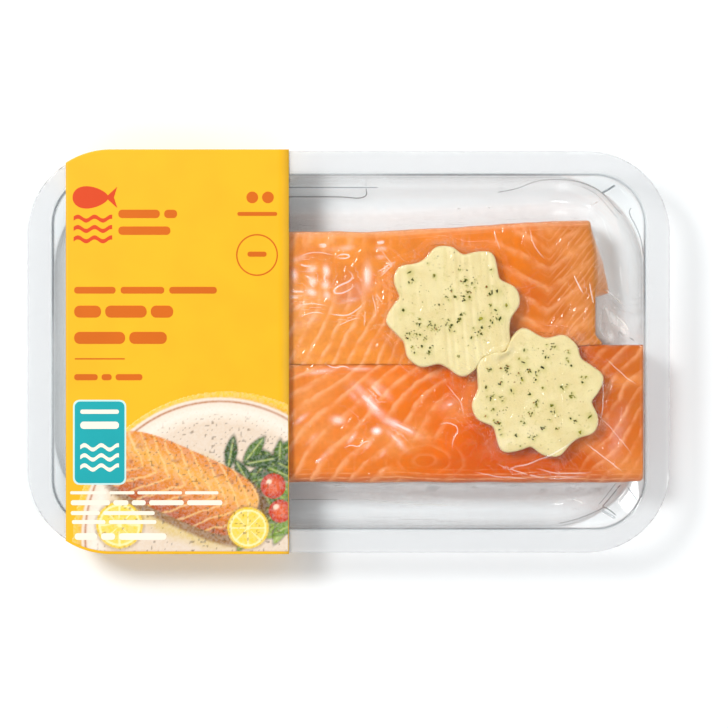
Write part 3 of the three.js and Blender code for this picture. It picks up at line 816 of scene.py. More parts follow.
def flesh_colours(name, points):
    """The flesh's linear colour at each point, before the fat lines."""
    x, y, z = points.T
    portion = PORTIONS[name]
    stops, tones = zip(*TONES[name])
    tones = np.array([srgb(*tone) for tone in tones])
    base = np.column_stack([np.interp(x, stops, tones[:, band]) for band in range(3)])
    base = np.clip(base * (1 + 0.1 * fractal_noise(x, y, 17, 11)[:, None]), 0, 1)
    cloud = fractal_noise(0.8 * x, 1.3 * y, 13, 17)
    height = (z - SALMON_Z) / fish_thickness(x, y)
    side = smoothstep(0.95, 0.7, height)
    inward = portion["seam_side"] * (y - portion["outer"](x))
    layers = [
        ((254, 176, 104), 0.45 * smoothstep(0.05, 0.7, cloud)),
        ((204, 78, 18), 0.4 * smoothstep(0.05, 0.7, -cloud)),
        # Pale patches of fat and of painted highlight.
        *[((255, 196, 152), patch) for patch in soft_patches(FAT_AND_HIGHLIGHT_PATCHES, x, y)],
    ]
    if name == "back":
        end = smoothstep(85, 88, x) * smoothstep(0.995, 0.95, height)
        layers.append(((252, 190, 150), 0.4 * smoothstep(3.2, 0.8, inward)))
        layers += [(SIDE_TONE, 0.6 * side), (END_TONE, end)]
    else:
        layers += [((196, 106, 66), 0.7 * smoothstep(4.2, 1.2, inward)), (SIDE_TONE, 0.7 * side)]
    return painted(base, layers)


def build_portion(name, lines):
    """One portion, with its colours and its fields of fat lines; returns its points and faces."""
    portion = PORTIONS[name]
    half_width = half_width_of(portion)
    edge = cut_corners(EDGE_PROFILE, 2)
    insets = [*np.arange(7 + TOP_STEP, half_width - 0.4, TOP_STEP), half_width - 0.04]
    profile = [(half_width - 1, 0), (12, 0), *edge, *[(inset, 1) for inset in insets]]
    points, faces = loft([portion_ring(portion, inset, share) for inset, share in profile])
    x, y, z = points.T
    top = smoothstep(0.8, 0.99, (z - SALMON_Z) / THICKNESS)
    points[:, 2] += top * (0.22 * fractal_noise(x, y, 14, 5) - 0.15)
    flesh = salmon_flesh(f"salmon_{name}")
    piece = mesh_piece(f"salmon_portion_{name}", points, faces, flesh, [f"salmon_{name}"])
    shade = np.ones(len(points))
    # Painted shade round the medallions, in the nook between them, and along the seam.
    for medallion in MEDALLIONS.values():
        shade *= 1 - 0.18 * smoothstep(2.4, 0, beyond_medallion(medallion, x, y)[0])
    shade *= 1 - 0.35 * bell(np.hypot(x - NOOK[0], y - NOOK[1]), 0, 4)
    shade *= 1 - 0.42 * bell(y, seam_y(x), 0.6) * (0.55 + 0.45 * value_noise(x, y, 6, 108))
    paint(piece, "flesh", flesh_colours(name, points) * shade[:, None])
    for family, (phase, amount) in enumerate(lines(x, y)):
        paint(piece, f"line_{family}", phase)
        paint(piece, f"amount_{family}", amount * smoothstep(0.3, 0.9, (z - SALMON_Z) / THICKNESS))
    return points, faces


# The butter

LOBES = 8
LOBE_DEPTH = 1.85
MEDALLION_RADIUS = 22
MEDALLION_THICKNESS = 5.4
MEDALLION_GAP = 0.15
MEDALLION_OVERLAP = 0.7
# The nook between the two medallions, where painted shade lies on the fish, and where the front one's raised
# curl is.
NOOK = (60, 9.5)
CURL = (54.5, 0.5)
MEDALLIONS = {
    "back": {"x": 37, "y": 15.3, "wobble": 0.5, "phase": radians(10.5)},
    "front": {"x": 67.5, "y": -15.1, "wobble": 2.1, "phase": radians(15)},
}


def medallion_radius(medallion, angle):
    """How far a medallion's lobed and slightly uneven outline reaches, each way from its middle."""
    wobble = medallion["wobble"]
    uneven = 0.45 * np.sin(2 * angle + wobble) + 0.35 * np.sin(3 * angle + 2 * wobble)
    uneven = uneven + 0.3 * np.sin(5 * angle + 3 * wobble) + 0.14 * np.sin(21 * angle + wobble)
    fullness = ((1.001 + np.cos(LOBES * (angle - medallion["phase"]))) / 2) ** 0.85
    depth = LOBE_DEPTH * (1 + 0.22 * np.sin(3 * angle - 2 * wobble))
    return MEDALLION_RADIUS + uneven + depth * (2 * fullness - 1)


def beyond_medallion(medallion, x, y):
    """How far points lie outside a medallion's outline, and their bearing from its middle."""
    away_x, away_y = x - medallion["x"], y - medallion["y"]
    bearing = np.arctan2(away_y, away_x)
    return np.hypot(away_x, away_y) - medallion_radius(medallion, bearing), bearing


def butter_relief(name, x, y):
    """Gentle hills on a medallion's top, the strokes of a knife, and the front one's raised curl."""
    hills = 0.16 * fractal_noise(x, y, 9, 21)
    if name == "back":
        return hills + 0.2 * value_noise(x * 1.8 + 0.15 * y, y * 0.12, 2.2, 31)
    along = (x - CURL[0]) * 0.85 + (y - CURL[1]) * 0.53
    beside = -(x - CURL[0]) * 0.53 + (y - CURL[1]) * 0.85
    knob = 1.8 * np.exp(-((beside / 2.3) ** 4)) * smoothstep(-4.5, -1.5, along) * smoothstep(5, 1.5, along)
    return hills + knob


def butter_top(name, x, y):
    return SALMON_Z + fish_thickness(x, y) + MEDALLION_GAP + MEDALLION_THICKNESS + butter_relief(name, x, y)


def build_medallion(name, material):
    """One lobed medallion on the fish; returns its points and faces."""
    medallion = MEDALLIONS[name]
    angle = np.linspace(0, 2 * pi, LOBES * 44, endpoint=False)
    radius = medallion_radius(medallion, angle)
    if name == "back":
        # Spread against the front one until the two meet.
        front = MEDALLIONS["front"]
        radius = radius + 1.9 * bell(angle, radians(313), 0.42)
        for _ in range(4):
            x = medallion["x"] + radius * np.cos(angle) - front["x"]
            y = medallion["y"] + radius * np.sin(angle) - front["y"]
            bearing = np.arctan2(y, x)
            overlap = medallion_radius(front, bearing) - MEDALLION_OVERLAP - np.hypot(x, y)
            radius = radius - np.clip(overlap, 0, 3)
    edge = cut_corners([
        (2.2, 0), (0.5, 0.1), (0, 0.9), (-0.1, 2.4), (0, MEDALLION_THICKNESS - 1.5),
        (0.2, MEDALLION_THICKNESS - 0.4), (0.7, MEDALLION_THICKNESS - 0.06), (2.0, MEDALLION_THICKNESS),
    ], 2)
    profile = [(0.05, None, 0), (0.6, None, 0)]
    profile += [(1, inset, height) for inset, height in edge]
    profile += [(scale, 2.0, MEDALLION_THICKNESS) for scale in np.linspace(0.97, 0.03, 34)]
    rings = []
    for scale, inset, height in profile:
        reach = radius * scale if inset is None else (radius - inset) * scale
        x = medallion["x"] + reach * np.cos(angle)
        y = medallion["y"] + reach * np.sin(angle)
        share = height / MEDALLION_THICKNESS
        z = SALMON_Z + fish_thickness(x, y) + MEDALLION_GAP + height + share * butter_relief(name, x, y)
        rings.append(np.column_stack([x, y, z]))
    points, faces = loft(rings)
    mesh_piece(f"butter_medallion_{name}", points, faces, material, [f"butter_{name}"])
    return points, faces


LEAF_TONES = [(66, 76, 10), (104, 108, 20), (38, 44, 4), (150, 146, 50), (150, 88, 40)]
LEAF_CHANCES = [0.32, 0.26, 0.16, 0.18, 0.08]
CLUMPS = 40
CLUMP_REACH = 20
STRAY_REACH = 20.5
# Fine strays and large ones: half their length from and to, and how many.
STRAYS = [(0.1, 0.28, 120), (0.55, 1.05, 14)]
LARGE_FLAKE = 0.4
FLAKE_CORNERS = 9
FLAKE_SUNK, FLAKE_PROUD = 0.12, 0.05
# How far within a medallion's outline its flakes stay.
FLAKE_MARGIN = 1.6
# No flake of the back medallion lies this near to the middle of the front one.
COVERED_REACH = 25


def herb_spots():
    """Where flakes lie from a medallion's middle, and half their length: clumps, then strays."""
    spots = []
    for _ in range(CLUMPS):
        turn, reach = rng.uniform(0, 2 * pi), CLUMP_REACH * sqrt(rng.random())
        middle = np.array([reach * cos(turn), reach * sin(turn)])
        spread = rng.uniform(0.25, 1.1)
        for _ in range(rng.integers(3, 10)):
            spots.append((*(middle + rng.normal(0, spread, 2)), rng.uniform(0.16, 0.58)))
    for length_low, length_high, count in STRAYS:
        for _ in range(count):
            turn, reach = rng.uniform(0, 2 * pi), STRAY_REACH * sqrt(rng.random())
            spots.append((reach * cos(turn), reach * sin(turn), rng.uniform(length_low, length_high)))
    return spots


def build_herbs(name, material):
    """Jagged flakes of herb set in a medallion's top, which they stain a little."""
    medallion, other = MEDALLIONS[name], MEDALLIONS["front"]
    points, faces, colours, large = [], [], [], []
    for away_x, away_y, length in herb_spots():
        limit = float(medallion_radius(medallion, atan2(away_y, away_x))) - FLAKE_MARGIN
        x, y = medallion["x"] + away_x, medallion["y"] + away_y
        covered = name == "back" and hypot(x - other["x"], y - other["y"]) < COVERED_REACH
        if covered or hypot(away_x, away_y) > limit:
            continue
        if length > LARGE_FLAKE:
            large.append((x, y, length))
        heading, slimness = rng.uniform(0, pi), rng.uniform(0.3, 0.8)
        angles = np.arange(FLAKE_CORNERS) / FLAKE_CORNERS * 2 * pi
        reach = length * rng.uniform(0.45, 1.2, FLAKE_CORNERS)
        along, beside = reach * np.cos(angles), slimness * reach * np.sin(angles)
        flake_x = x + along * cos(heading) - beside * sin(heading)
        flake_y = y + along * sin(heading) + beside * cos(heading)
        top = butter_top(name, flake_x, flake_y)
        flake = np.column_stack([flake_x, flake_y])
        rings = [with_height(flake, top - FLAKE_SUNK), with_height(flake, top + FLAKE_PROUD)]
        join(points, faces, loft(rings))
        shade = np.array(srgb(*LEAF_TONES[rng.choice(len(LEAF_TONES), p=LEAF_CHANCES)]))
        colours += [shade * rng.uniform(0.7, 1.3)] * (2 * FLAKE_CORNERS)
    piece = mesh_piece(f"herb_flakes_{name}", points, faces, material)
    paint(piece, "leaf", np.clip(colours, 0, 1))
    butter_piece = bpy.data.objects[f"butter_medallion_{name}"]
    place = np.array([vertex.co[:2] for vertex in butter_piece.data.vertices]) / MM
    stain = np.zeros(len(place))
    for x, y, length in large:
        away = np.hypot(place[:, 0] - x - 0.3, place[:, 1] - y + 0.2)
        stain = np.maximum(stain, 0.45 * np.exp(-((away / (length * 1.7)) ** 2)))
    paint(butter_piece, "stain", stain)


# The film

FILM_CLEARANCE = 0.12
FILM_THICKNESS = 0.08
SUCTION = 0.6
FILM_ROUNDS = 900
OVER_RELAXATION = 1.85
ABOVE_PACK = 60
# The film hangs free below the first height, and lies on the food above the second.
FOOD_HEIGHTS = (16, 19)
# The film's mesh is fine where it is seen, and coarse on the flange and under the label.
FLANGE_STEP, LEFT_STEP, HIDDEN_STEP, SEEN_STEP = 2, 0.75, 2.6, 0.72


def grid_lines(stops):
    """Positions from the first stop to the last, each stretch in steps near its own size."""
    lines = [stops[0][0]]
    for end, step in stops[1:]:
        start = lines[-1]
        count = max(1, round((end - start) / step))
        lines += [start + (end - start) * i / count for i in range(1, count + 1)]
    return np.array(lines)


def support_heights(x, y, bodies):
    """The highest point of some bodies over each point of a grid."""
    heights = np.full(x.shape, FLOOR_Z)
    for points, faces in bodies:
        tree = BVHTree.FromPolygons(points.tolist(), faces)
        low, high = points.min(axis=0), points.max(axis=0)
        near = (x > low[0]) & (x < high[0]) & (y > low[1]) & (y < high[1])
        for row, column in np.argwhere(near):
            start = Vector((x[row, column], y[row, column], ABOVE_PACK))
            hit = tree.ray_cast(start, Vector((0, 0, -1)))[0]
            if hit is not None:
                heights[row, column] = max(heights[row, column], hit.z)
    return heights


def widest(heights):
    """Each height raised to the highest of its neighbours."""
    padded = np.pad(heights, 1, mode="edge")
    rows, columns = heights.shape
    return np.max([padded[i:i + rows, j:j + columns] for i in range(3) for j in range(3)], axis=0)


def relax(film, floor, x, y):
    """Draws the film down until it hangs between what holds it up, one checker colour at a time."""
    west, east = np.diff(x)[None, :-1], np.diff(x)[None, 1:]
    south, north = np.diff(y)[:-1, None], np.diff(y)[1:, None]
    across, up = 2 / (west + east), 2 / (south + north)
    stiffness = 2 / (west * east) + 2 / (south * north)
    checker = (np.add.outer(np.arange(len(y) - 2), np.arange(len(x) - 2)) % 2).astype(bool)
    for _ in range(FILM_ROUNDS):
        for colour in (checker, ~checker):
            pull = (film[1:-1, :-2] / west + film[1:-1, 2:] / east) * across
            pull = pull + (film[:-2, 1:-1] / south + film[2:, 1:-1] / north) * up
            settled = (pull - SUCTION) / stiffness
            inner = film[1:-1, 1:-1]
            moved = np.maximum(floor[1:-1, 1:-1], inner + OVER_RELAXATION * (settled - inner))
            inner[colour] = moved[colour]
    return film


# The film's folds: the way each runs, half its width, how bright its painted highlight and how dark its
# painted shade shows, and its height.
FOLDS = [
    ([(-1.3, 30), (1.9, 27.5), (0.1, 25), (-4.6, 23.2), (-5.6, 20.7), (-1.3, 21), (4, 25.3)],
     0.4, 0.8, 0, 0.35),
    ([(-11.3, 38.4), (-9, 38.9), (-7.8, 38.2), (-9.4, 37.6), (-11, 38)], 0.4, 0.7, 0, 0.15),
    ([(10, 38.6), (12.6, 39.6)], 0.8, 0.9, 0, 0.2),
    ([(-5, 33.6), (-2.4, 35), (0.6, 34.4), (-1, 33.2), (-4.4, 33.4)], 0.35, 0.8, 0, 0.2),
    ([(-17.5, 31.2), (-14.6, 30.2), (-12.4, 30.8)], 0.5, 0.7, 0, 0.25),
    ([(-15.8, 27.2), (-13.4, 26.2), (-13.8, 24.2), (-11.8, 22.6)], 0.55, 0.7, 0, 0.25),
    ([(-9.6, 30.4), (-7.8, 28.2), (-8.8, 26.4), (-7.6, 23.8)], 0.5, 0.7, 0, 0.25),
    ([(6.9, 30.4), (6.2, 27.6), (6.7, 24.2)], 0.8, 0.85, 0, 0.35),
    ([(-20.8, 21.8), (-15.6, 21.6)], 0.5, 0.7, 0, 0.2),
    ([(-21, 19.6), (-17.6, 19.4)], 0.45, 0.6, 0, 0.2),
    ([(-18, 12.5), (-13, 14.5), (-8, 13.2)], 0.3, 0.6, 0, 0.3),
    ([(-20, 16.4), (-14.2, 17.6), (-7, 16.2)], 0.3, 0.55, 0, 0.25),
    ([(-4, 9), (0.5, 11.6), (4.6, 12.2)], 0.3, 0.5, 0, 0.2),
    ([(9.8, 28.5), (17.6, 32.5)], 0.3, 0.6, 0, 0.3),
    ([(10.5, 26.4), (17.3, 31.8)], 0.3, 0.5, 0, 0.25),
    ([(-7.4, 13.5), (-2.4, 12.8), (1.2, 13.9), (4.4, 16), (5.1, 17.8)], 0.35, 0.7, 0, 0.35),
    ([(5.8, 15), (5.9, 8.9)], 0.3, 0.45, 0, 0.2),
    ([(10.1, 13), (8.5, 21)], 0.3, 0.5, 0, 0.2),
    ([(12.2, 17.3), (9.8, 21)], 0.3, 0.4, 0, 0.2),
    ([(80.3, 27.5), (84.2, 20.7)], 0.35, 0.85, 0, 0.5),
    ([(86.2, 25.4), (87.6, 17.2)], 0.35, 0.7, 0, 0.45),
    ([(91, 22.6), (95.3, 20.7), (100.3, 16)], 0.45, 0.6, 0, 0.3),
    ([(90.4, 14.9), (90.2, 7.8), (93.5, 3.4)], 0.5, 0.6, 0.1, 0.3),
    ([(90.2, -8.2), (91.2, -17), (89.8, -26.2)], 0.35, 0.6, 0, 0.3),
    ([(82.8, -29.8), (74, -36.5), (60, -41.5), (54.2, -42.3)], 0.4, 0.55, 0, 0.45),
    ([(84, -32), (92, -38.5), (99, -43.5)], 0.35, 0.5, 0, 0.3),
    ([(66, -41.5), (76, -44), (88, -43)], 0.35, 0.45, 0, 0.3),
    ([(-8.5, -4.4), (-5, -6.3), (-2, -4.8), (1.2, -6.5)], 0.3, 0.8, 0, 0.3),
    ([(3.7, -14.8), (7.8, -18.3), (12.2, -22.1)], 1.2, 1.0, 0, 0.4),
    ([(8, -11.9), (12, -16)], 0.8, 0.5, 0, 0.2),
    ([(14.2, -24.8), (18.5, -26.6), (24.2, -29.6)], 0.8, 0.95, 0, 0.3),
    ([(14.4, -29.1), (20.3, -34.6)], 0.7, 0.55, 0, 0.2),
    ([(9, -28.2), (10.6, -28.6)], 0.7, 1.0, 0, 0.2),
    ([(-2, -34.8), (1.4, -33.2), (3.4, -34.4), (5.8, -32), (8.7, -32.4)], 0.3, 0.75, 0, 0.3),
    ([(-12, -39.8), (-9.4, -38)], 0.6, 0.8, 0, 0.2),
    ([(31.6, -26.2), (36, -25.4), (39.8, -27.4), (37.2, -31.5), (37.4, -35.5)], 0.3, 0.55, 0, 0.25),
    ([(35, -19.4), (37.4, -18.8)], 0.7, 0.75, 0, 0.2),
    ([(52, -39.8), (60, -43.2), (72, -45)], 0.3, 0.5, 0, 0.3),
    ([(86, -20), (95, -28), (102, -38)], 0.3, 0.4, 0, 0.3),
    ([(92, -2), (97.5, -8), (104, -12)], 0.3, 0.4, 0, 0.25),
    ([(91.4, 18), (94.6, 12.6), (95.4, 8.4)], 0.9, 0.85, 0, 0.3),
    ([(95.4, 13.6), (99.6, 11), (100.8, 6)], 0.7, 0.7, 0, 0.3),
    ([(97.4, 7.6), (98.8, 5.4)], 0.3, 0, 0.8, 0.1),
    ([(100.6, 5.2), (102.4, 3.8)], 0.3, 0, 0.7, 0.1),
    ([(-5.5, -24.2), (-2.1, -25.2)], 0.9, 0.7, 0, 0.2),
    ([(-6.3, -48.6), (-0.6, -48.6)], 0.5, 0.8, 0, 0.3),
    ([(-3.1, -53.1), (18.4, -54.9), (47, -56.3)], 0.6, 0.35, 0.1, 0.3),
    ([(63, -44), (72, -45.4), (84, -45.2)], 0.35, 0.4, 0, 0.35),
    ([(44, -42.6), (53, -44.9), (66, -45.4)], 0.35, 0.4, 0, 0.3),
    ([(81, -53.4), (84.6, -54.5)], 0.35, 0.9, 0, 0.3),
    ([(39.5, 51.8), (40.5, 52)], 0.4, 0.8, 0.3, 0.1),
    ([(50.6, 52.2), (51.4, 52.2)], 0.4, 0.8, 0.3, 0.1),
    ([(87.4, 53.2), (89.9, 54.3)], 0.4, 0.8, 0.2, 0.2),
    ([(64.5, 45), (66, 38), (71, 33)], 0.35, 0.35, 0, 0.2),
    ([(52, 43), (54.5, 36.5)], 0.35, 0.3, 0, 0.2),
    ([(-20, 33), (-12, 36), (-4, 34.5)], 0.35, 0.4, 0, 0.2),
    ([(11, 37), (16.5, 30)], 0.3, 0.35, 0, 0.2),
    ([(34, -11), (40, -17), (41, -24)], 0.35, 0.35, 0, 0.25),
]
# Broader painted highlights on the film, pale glints: place, half lengths, turn and strength.
GLINTS = [
    (-13.2, 29.6, 1.5, 1.0, 0.2, 0.5), (-13.0, 25.4, 1.3, 1.3, 0, 0.5), (-13.4, 21.4, 1.6, 1.0, -0.3, 0.45),
    (-8.1, 29.0, 1.0, 1.6, 0.2, 0.5), (-8.4, 24.0, 1.2, 1.2, 0, 0.45), (-7.8, 20.2, 1.1, 1.3, 0.3, 0.4),
    (6.6, 27.4, 1.2, 3.4, 0, 0.45), (-17.4, 33.4, 2.2, 0.9, 0.3, 0.35), (-2.6, 37, 3.6, 0.8, 0.1, 0.3),
    (-19.4, 27, 1.0, 2.4, 0.1, 0.35), (-18.2, 16, 2.4, 0.8, 0.4, 0.3), (0.5, 18.5, 3.2, 0.8, 0.2, 0.3),
    (3.5, 22.5, 0.8, 2.6, 0.5, 0.3), (-11, -7.2, 5, 0.7, 0.15, 0.3), (4, -6.2, 4, 0.6, 0, 0.25),
    (-17, -24, 2.6, 0.7, 0.7, 0.3), (-13, -31, 2.8, 0.7, 0.8, 0.3), (-9, -37.5, 2.6, 0.7, 0.8, 0.25),
    (1.5, -30.5, 2.4, 0.6, 0.9, 0.3), (7.2, -33.2, 2.2, 0.6, 0.9, 0.3), (12.4, -36.4, 1.8, 0.6, 0.8, 0.25),
    (11.7, 36.9, 1.5, 0.7, 0.1, 0.5), (11.7, 33.9, 1.5, 0.6, 0, 0.45), (-3.9, -24.5, 2.2, 1.2, -0.2, 0.3),
    (7.4, -18, 6.4, 1.5, -0.82, 0.5), (18.6, -27, 6, 1.2, -0.45, 0.5), (11.4, -13.4, 3.4, 1.2, -0.75, 0.4),
    (2.2, -16.2, 3.2, 1, -0.8, 0.35), (17, -31.6, 3.6, 1, -0.8, 0.4), (10, -28.4, 1.4, 1, 0, 0.7),
    (36, -19, 3, 1.5, 0.4, 0.12), (60, -30, 9, 3, 0.5, 0.1), (95.6, 12.6, 1.4, 4.2, 0.45, 0.6),
    (94, 7, 1.3, 3.4, 0.2, 0.5), (99.4, 7.4, 1.2, 3.2, 0.5, 0.5), (2, 50, 40, 2.5, 0, 0.1),
    (60, 51, 30, 2, 0, 0.12), (20, -53, 30, 1.6, -0.06, 0.18), (72, -53, 22, 1.6, 0.03, 0.16),
    (-14, 12, 9, 2.5, 0.6, 0.08), (2, 22, 8, 4, 0.4, 0.1), (96, -30, 4, 9, -0.3, 0.1),
]


def fold_fields(x, y):
    """How many half widths away the nearest fold is, signed by its side, how strong its painted highlight and
    painted shade, and how high.
    """
    nearest = np.full(x.shape, 9.0)
    pale, dark, height = np.zeros(x.shape), np.zeros(x.shape), np.zeros(x.shape)
    bent_x = x + 0.5 * fractal_noise(x, y, 5, 41)
    bent_y = y + 0.5 * fractal_noise(x, y, 5, 44)
    for path, half_width, paleness, darkness, ridge in FOLDS:
        path = cut_corners(path, 2)
        lengths = np.hypot(*np.diff(path, axis=0).T)
        best, share, run_so_far = np.full(x.shape, 99.0), np.zeros(x.shape), 0.0
        for start, end, length in zip(path[:-1], path[1:], lengths):
            run = (end - start) / length
            along = np.clip((bent_x - start[0]) * run[0] + (bent_y - start[1]) * run[1], 0, length)
            away_x, away_y = bent_x - start[0] - along * run[0], bent_y - start[1] - along * run[1]
            away = np.hypot(away_x, away_y)
            closer = away < np.abs(best)
            best = np.where(closer, away * np.sign(run[0] * away_y - run[1] * away_x), best)
            share = np.where(closer, (run_so_far + along) / lengths.sum(), share)
            run_so_far += length
        taper = smoothstep(0, 0.3, share) * smoothstep(1, 0.7, share)
        height = np.maximum(height, ridge * taper * np.exp(-((best / 0.8) ** 2)))
        closer = np.abs(best / half_width) < np.abs(nearest)
        nearest = np.where(closer, best / half_width, nearest)
        pale = np.where(closer, paleness * taper, pale)
        dark = np.where(closer, darkness * taper, dark)
    return nearest, pale, dark, height


def film_rays(x, y):
    """Where the film is drawn tight round the medallions: its noise's coordinates, and how strong."""
    ray, strength = np.zeros((*x.shape, 3)), np.zeros(x.shape)
    for number, medallion in enumerate(MEDALLIONS.values()):
        beyond, bearing = beyond_medallion(medallion, x, y)
        amount = smoothstep(-0.2, 0.8, beyond) * np.exp(-np.maximum(beyond, 0) / 7)
        here = np.stack([9 * np.cos(bearing), 9 * np.sin(bearing), 0.1 * beyond + 20 * number], axis=-1)
        closer = amount > strength
        ray = np.where(closer[..., None], here, ray)
        strength = np.where(closer, amount, strength)
    return ray, strength * smoothstep(-0.5, 0.2, fractal_noise(x, y, 14, 77))


def build_film(bodies):
    """The film over the bodies and the tray, with its folds, and the fields that its look reads."""
    x = grid_lines([
        (-FLANGE_HALF_LENGTH, 0), (-MOUTH_HALF_LENGTH - 1, FLANGE_STEP), (label_low[0] + 3, LEFT_STEP),
        (label_high[0] - 3, HIDDEN_STEP), (MOUTH_HALF_LENGTH + 1, SEEN_STEP),
        (FLANGE_HALF_LENGTH, FLANGE_STEP),
    ])
    y = grid_lines([
        (-FLANGE_HALF_WIDTH, 0), (-MOUTH_HALF_WIDTH - 1, FLANGE_STEP), (MOUTH_HALF_WIDTH + 1, SEEN_STEP),
        (FLANGE_HALF_WIDTH, FLANGE_STEP),
    ])
    grid_x, grid_y = np.meshgrid(x, y)
    resting = np.maximum(widest(support_heights(grid_x, grid_y, bodies)), tray_heights(grid_x, grid_y))
    floor = resting + FILM_CLEARANCE
    film = relax(np.maximum(floor, FLANGE_Z + FILM_CLEARANCE), floor, x, y)
    on_food = smoothstep(*FOOD_HEIGHTS, film)
    inside = smoothstep(2, 9, -rounded_distance(
        grid_x, grid_y, MOUTH_HALF_LENGTH, MOUTH_HALF_WIDTH, MOUTH_RADIUS))
    fold, pale, dark, ridges = fold_fields(grid_x, grid_y)
    film = film + ridges * inside
    film = film + 0.25 * inside * (0.5 + 0.5 * fractal_noise(grid_x, grid_y, 6, 51)) * (1 - on_food)
    # The outermost points follow the flange's rounded outline.
    outside = rounded_distance(grid_x, grid_y, FLANGE_HALF_LENGTH, FLANGE_HALF_WIDTH, FLANGE_RADIUS)
    corner_x = np.sign(grid_x) * (FLANGE_HALF_LENGTH - FLANGE_RADIUS)
    corner_y = np.sign(grid_y) * (FLANGE_HALF_WIDTH - FLANGE_RADIUS)
    reach = np.hypot(grid_x - corner_x, grid_y - corner_y)
    shrink = np.where(outside > 0, FLANGE_RADIUS / np.maximum(reach, 1), 1)
    flat_x = corner_x + (grid_x - corner_x) * shrink
    flat_y = corner_y + (grid_y - corner_y) * shrink
    lower = np.column_stack([flat_x.ravel(), flat_y.ravel(), film.ravel()])
    quads = grid_quads(*film.shape)
    quads = quads[(outside.ravel()[quads] < 1.5).any(axis=1)]
    points, faces, used = closed_sheet(lower, lower + [0, 0, FILM_THICKNESS], quads)
    piece = mesh_piece("film_skin", points, faces, skin_film(), ["skin_film"])
    crumple = inside * (0.25 + 0.75 * on_food)
    glint = np.max(list(soft_patches(GLINTS, grid_x, grid_y)), axis=0)
    glint = glint * (0.6 + 0.8 * fractal_noise(grid_x, grid_y, 4, 57)) * inside
    ray, ray_amount = film_rays(grid_x, grid_y)
    # Painted shade: shadowed crinkles along the foot of the front portion.
    painted_foot_shade = 0.35 * smoothstep(0.0, 0.5, fractal_noise(grid_x, 2.2 * grid_y, 5, 63))
    painted_foot_shade = painted_foot_shade * bell(grid_y, -49, 1.5)
    painted_foot_shade = painted_foot_shade * smoothstep(0, 30, grid_x) * (1 - on_food)
    fields = {"crumple": crumple, "fold": fold, "fold_highlight": pale, "fold_shade": dark,
              "glint": np.clip(glint, 0, 1), "ray_amount": ray_amount * on_food, "painted_foot_shade": painted_foot_shade}
    for name, field in fields.items():
        paint(piece, name, np.tile(field.ravel(), 2)[used])
    paint(piece, "ray", np.tile(ray.reshape(-1, 3), (2, 1))[used])


# The label

LABEL_LEFT, LABEL_RIGHT = label_low[0], label_high[0]
# As in the solids: a gap, the film, a gap and the paper, over the flange.
SOLID_GAP, SOLID_FILM, SOLID_PAPER = 0.3, 0.4, 0.25
LABEL_TOP = FLANGE_Z + SOLID_GAP + SOLID_FILM + SOLID_GAP + SOLID_PAPER
LABEL_LEAN = 11.6
SHEET = 0.2
INK = 0.03
INK_LIFT = 0.005


def flange_half_width(x):
    """Half the flange's width across the pack, less towards its rounded corners."""
    past = np.maximum(0, np.abs(x) - (FLANGE_HALF_LENGTH - FLANGE_RADIUS))
    return FLANGE_HALF_WIDTH - FLANGE_RADIUS + np.sqrt(FLANGE_RADIUS ** 2 - past ** 2)


def label_ring(x, drawn_in):
    """The band's outline across the pack, drawn in by its thickness for its bare inner face."""
    half = float(flange_half_width(x)) + 0.5 - drawn_in
    top = LABEL_TOP - drawn_in
    foot = half - LABEL_LEAN
    side = cut_corners([(0, drawn_in), (foot - 1.2, drawn_in), (foot, drawn_in), (foot + 0.7, drawn_in + 1.3),
                        (half - 0.7, FLANGE_Z - 2.4), (half, FLANGE_Z - 1.1), (half, top - 0.7),
                        (half, top), (half - 0.9, top), (0, top)], 2)
    ring = np.vstack([side, side[::-1][1:-1] * [-1, 1]])
    return np.column_stack([np.full(len(ring), x), ring])


def build_label():
    bend = FLANGE_RADIUS - FLANGE_HALF_LENGTH
    stations = grid_lines([(LABEL_LEFT, 0), (bend, 0.7), (LABEL_RIGHT, 4)])
    rings = [label_ring(x, 0) for x in stations] + [label_ring(x, SHEET) for x in stations[::-1]]
    size, points = len(rings[0]), np.vstack(rings)
    last = len(points) - size
    faces = ring_faces(len(rings), size)
    faces += [[last + i, last + (i + 1) % size, (i + 1) % size, i] for i in range(size)]
    yellow = coated_paper("label_yellow", 248, 188, 26)
    band = mesh_piece("label_band", points, faces, yellow, ["label"])
    # Painted shade: the band's bare inner face is a grey that darkens the shade under it.
    paint(band, "bare", np.repeat([0.0, 1.0], len(points) // 2))


def clip_to_label(outline, margin):
    """The part of an outline that lies on the label's top panel, cut at each of the panel's edges in turn."""
    stations = grid_lines([(LABEL_LEFT + margin, 0), (FLANGE_RADIUS - FLANGE_HALF_LENGTH, 1),
                           (LABEL_RIGHT - margin, 60)])
    half = flange_half_width(stations) - 0.6 - margin
    panel = np.vstack([np.column_stack([stations, -half]), np.column_stack([stations, half])[::-1]])
    points = [np.array(p, float) for p in outline]
    for start, end in zip(panel, np.roll(panel, -1, axis=0)):
        run = end - start
        side = [run[0] * (p[1] - start[1]) - run[1] * (p[0] - start[0]) for p in points]
        kept = []
        for here, after, s, t in zip(points, points[1:] + points[:1], side, side[1:] + side[:1]):
            if s >= 0:
                kept.append(here)
            if s * t < 0:
                kept.append(here + (after - here) * s / (s - t))
        points = kept
        if not points:
            return []
    return points


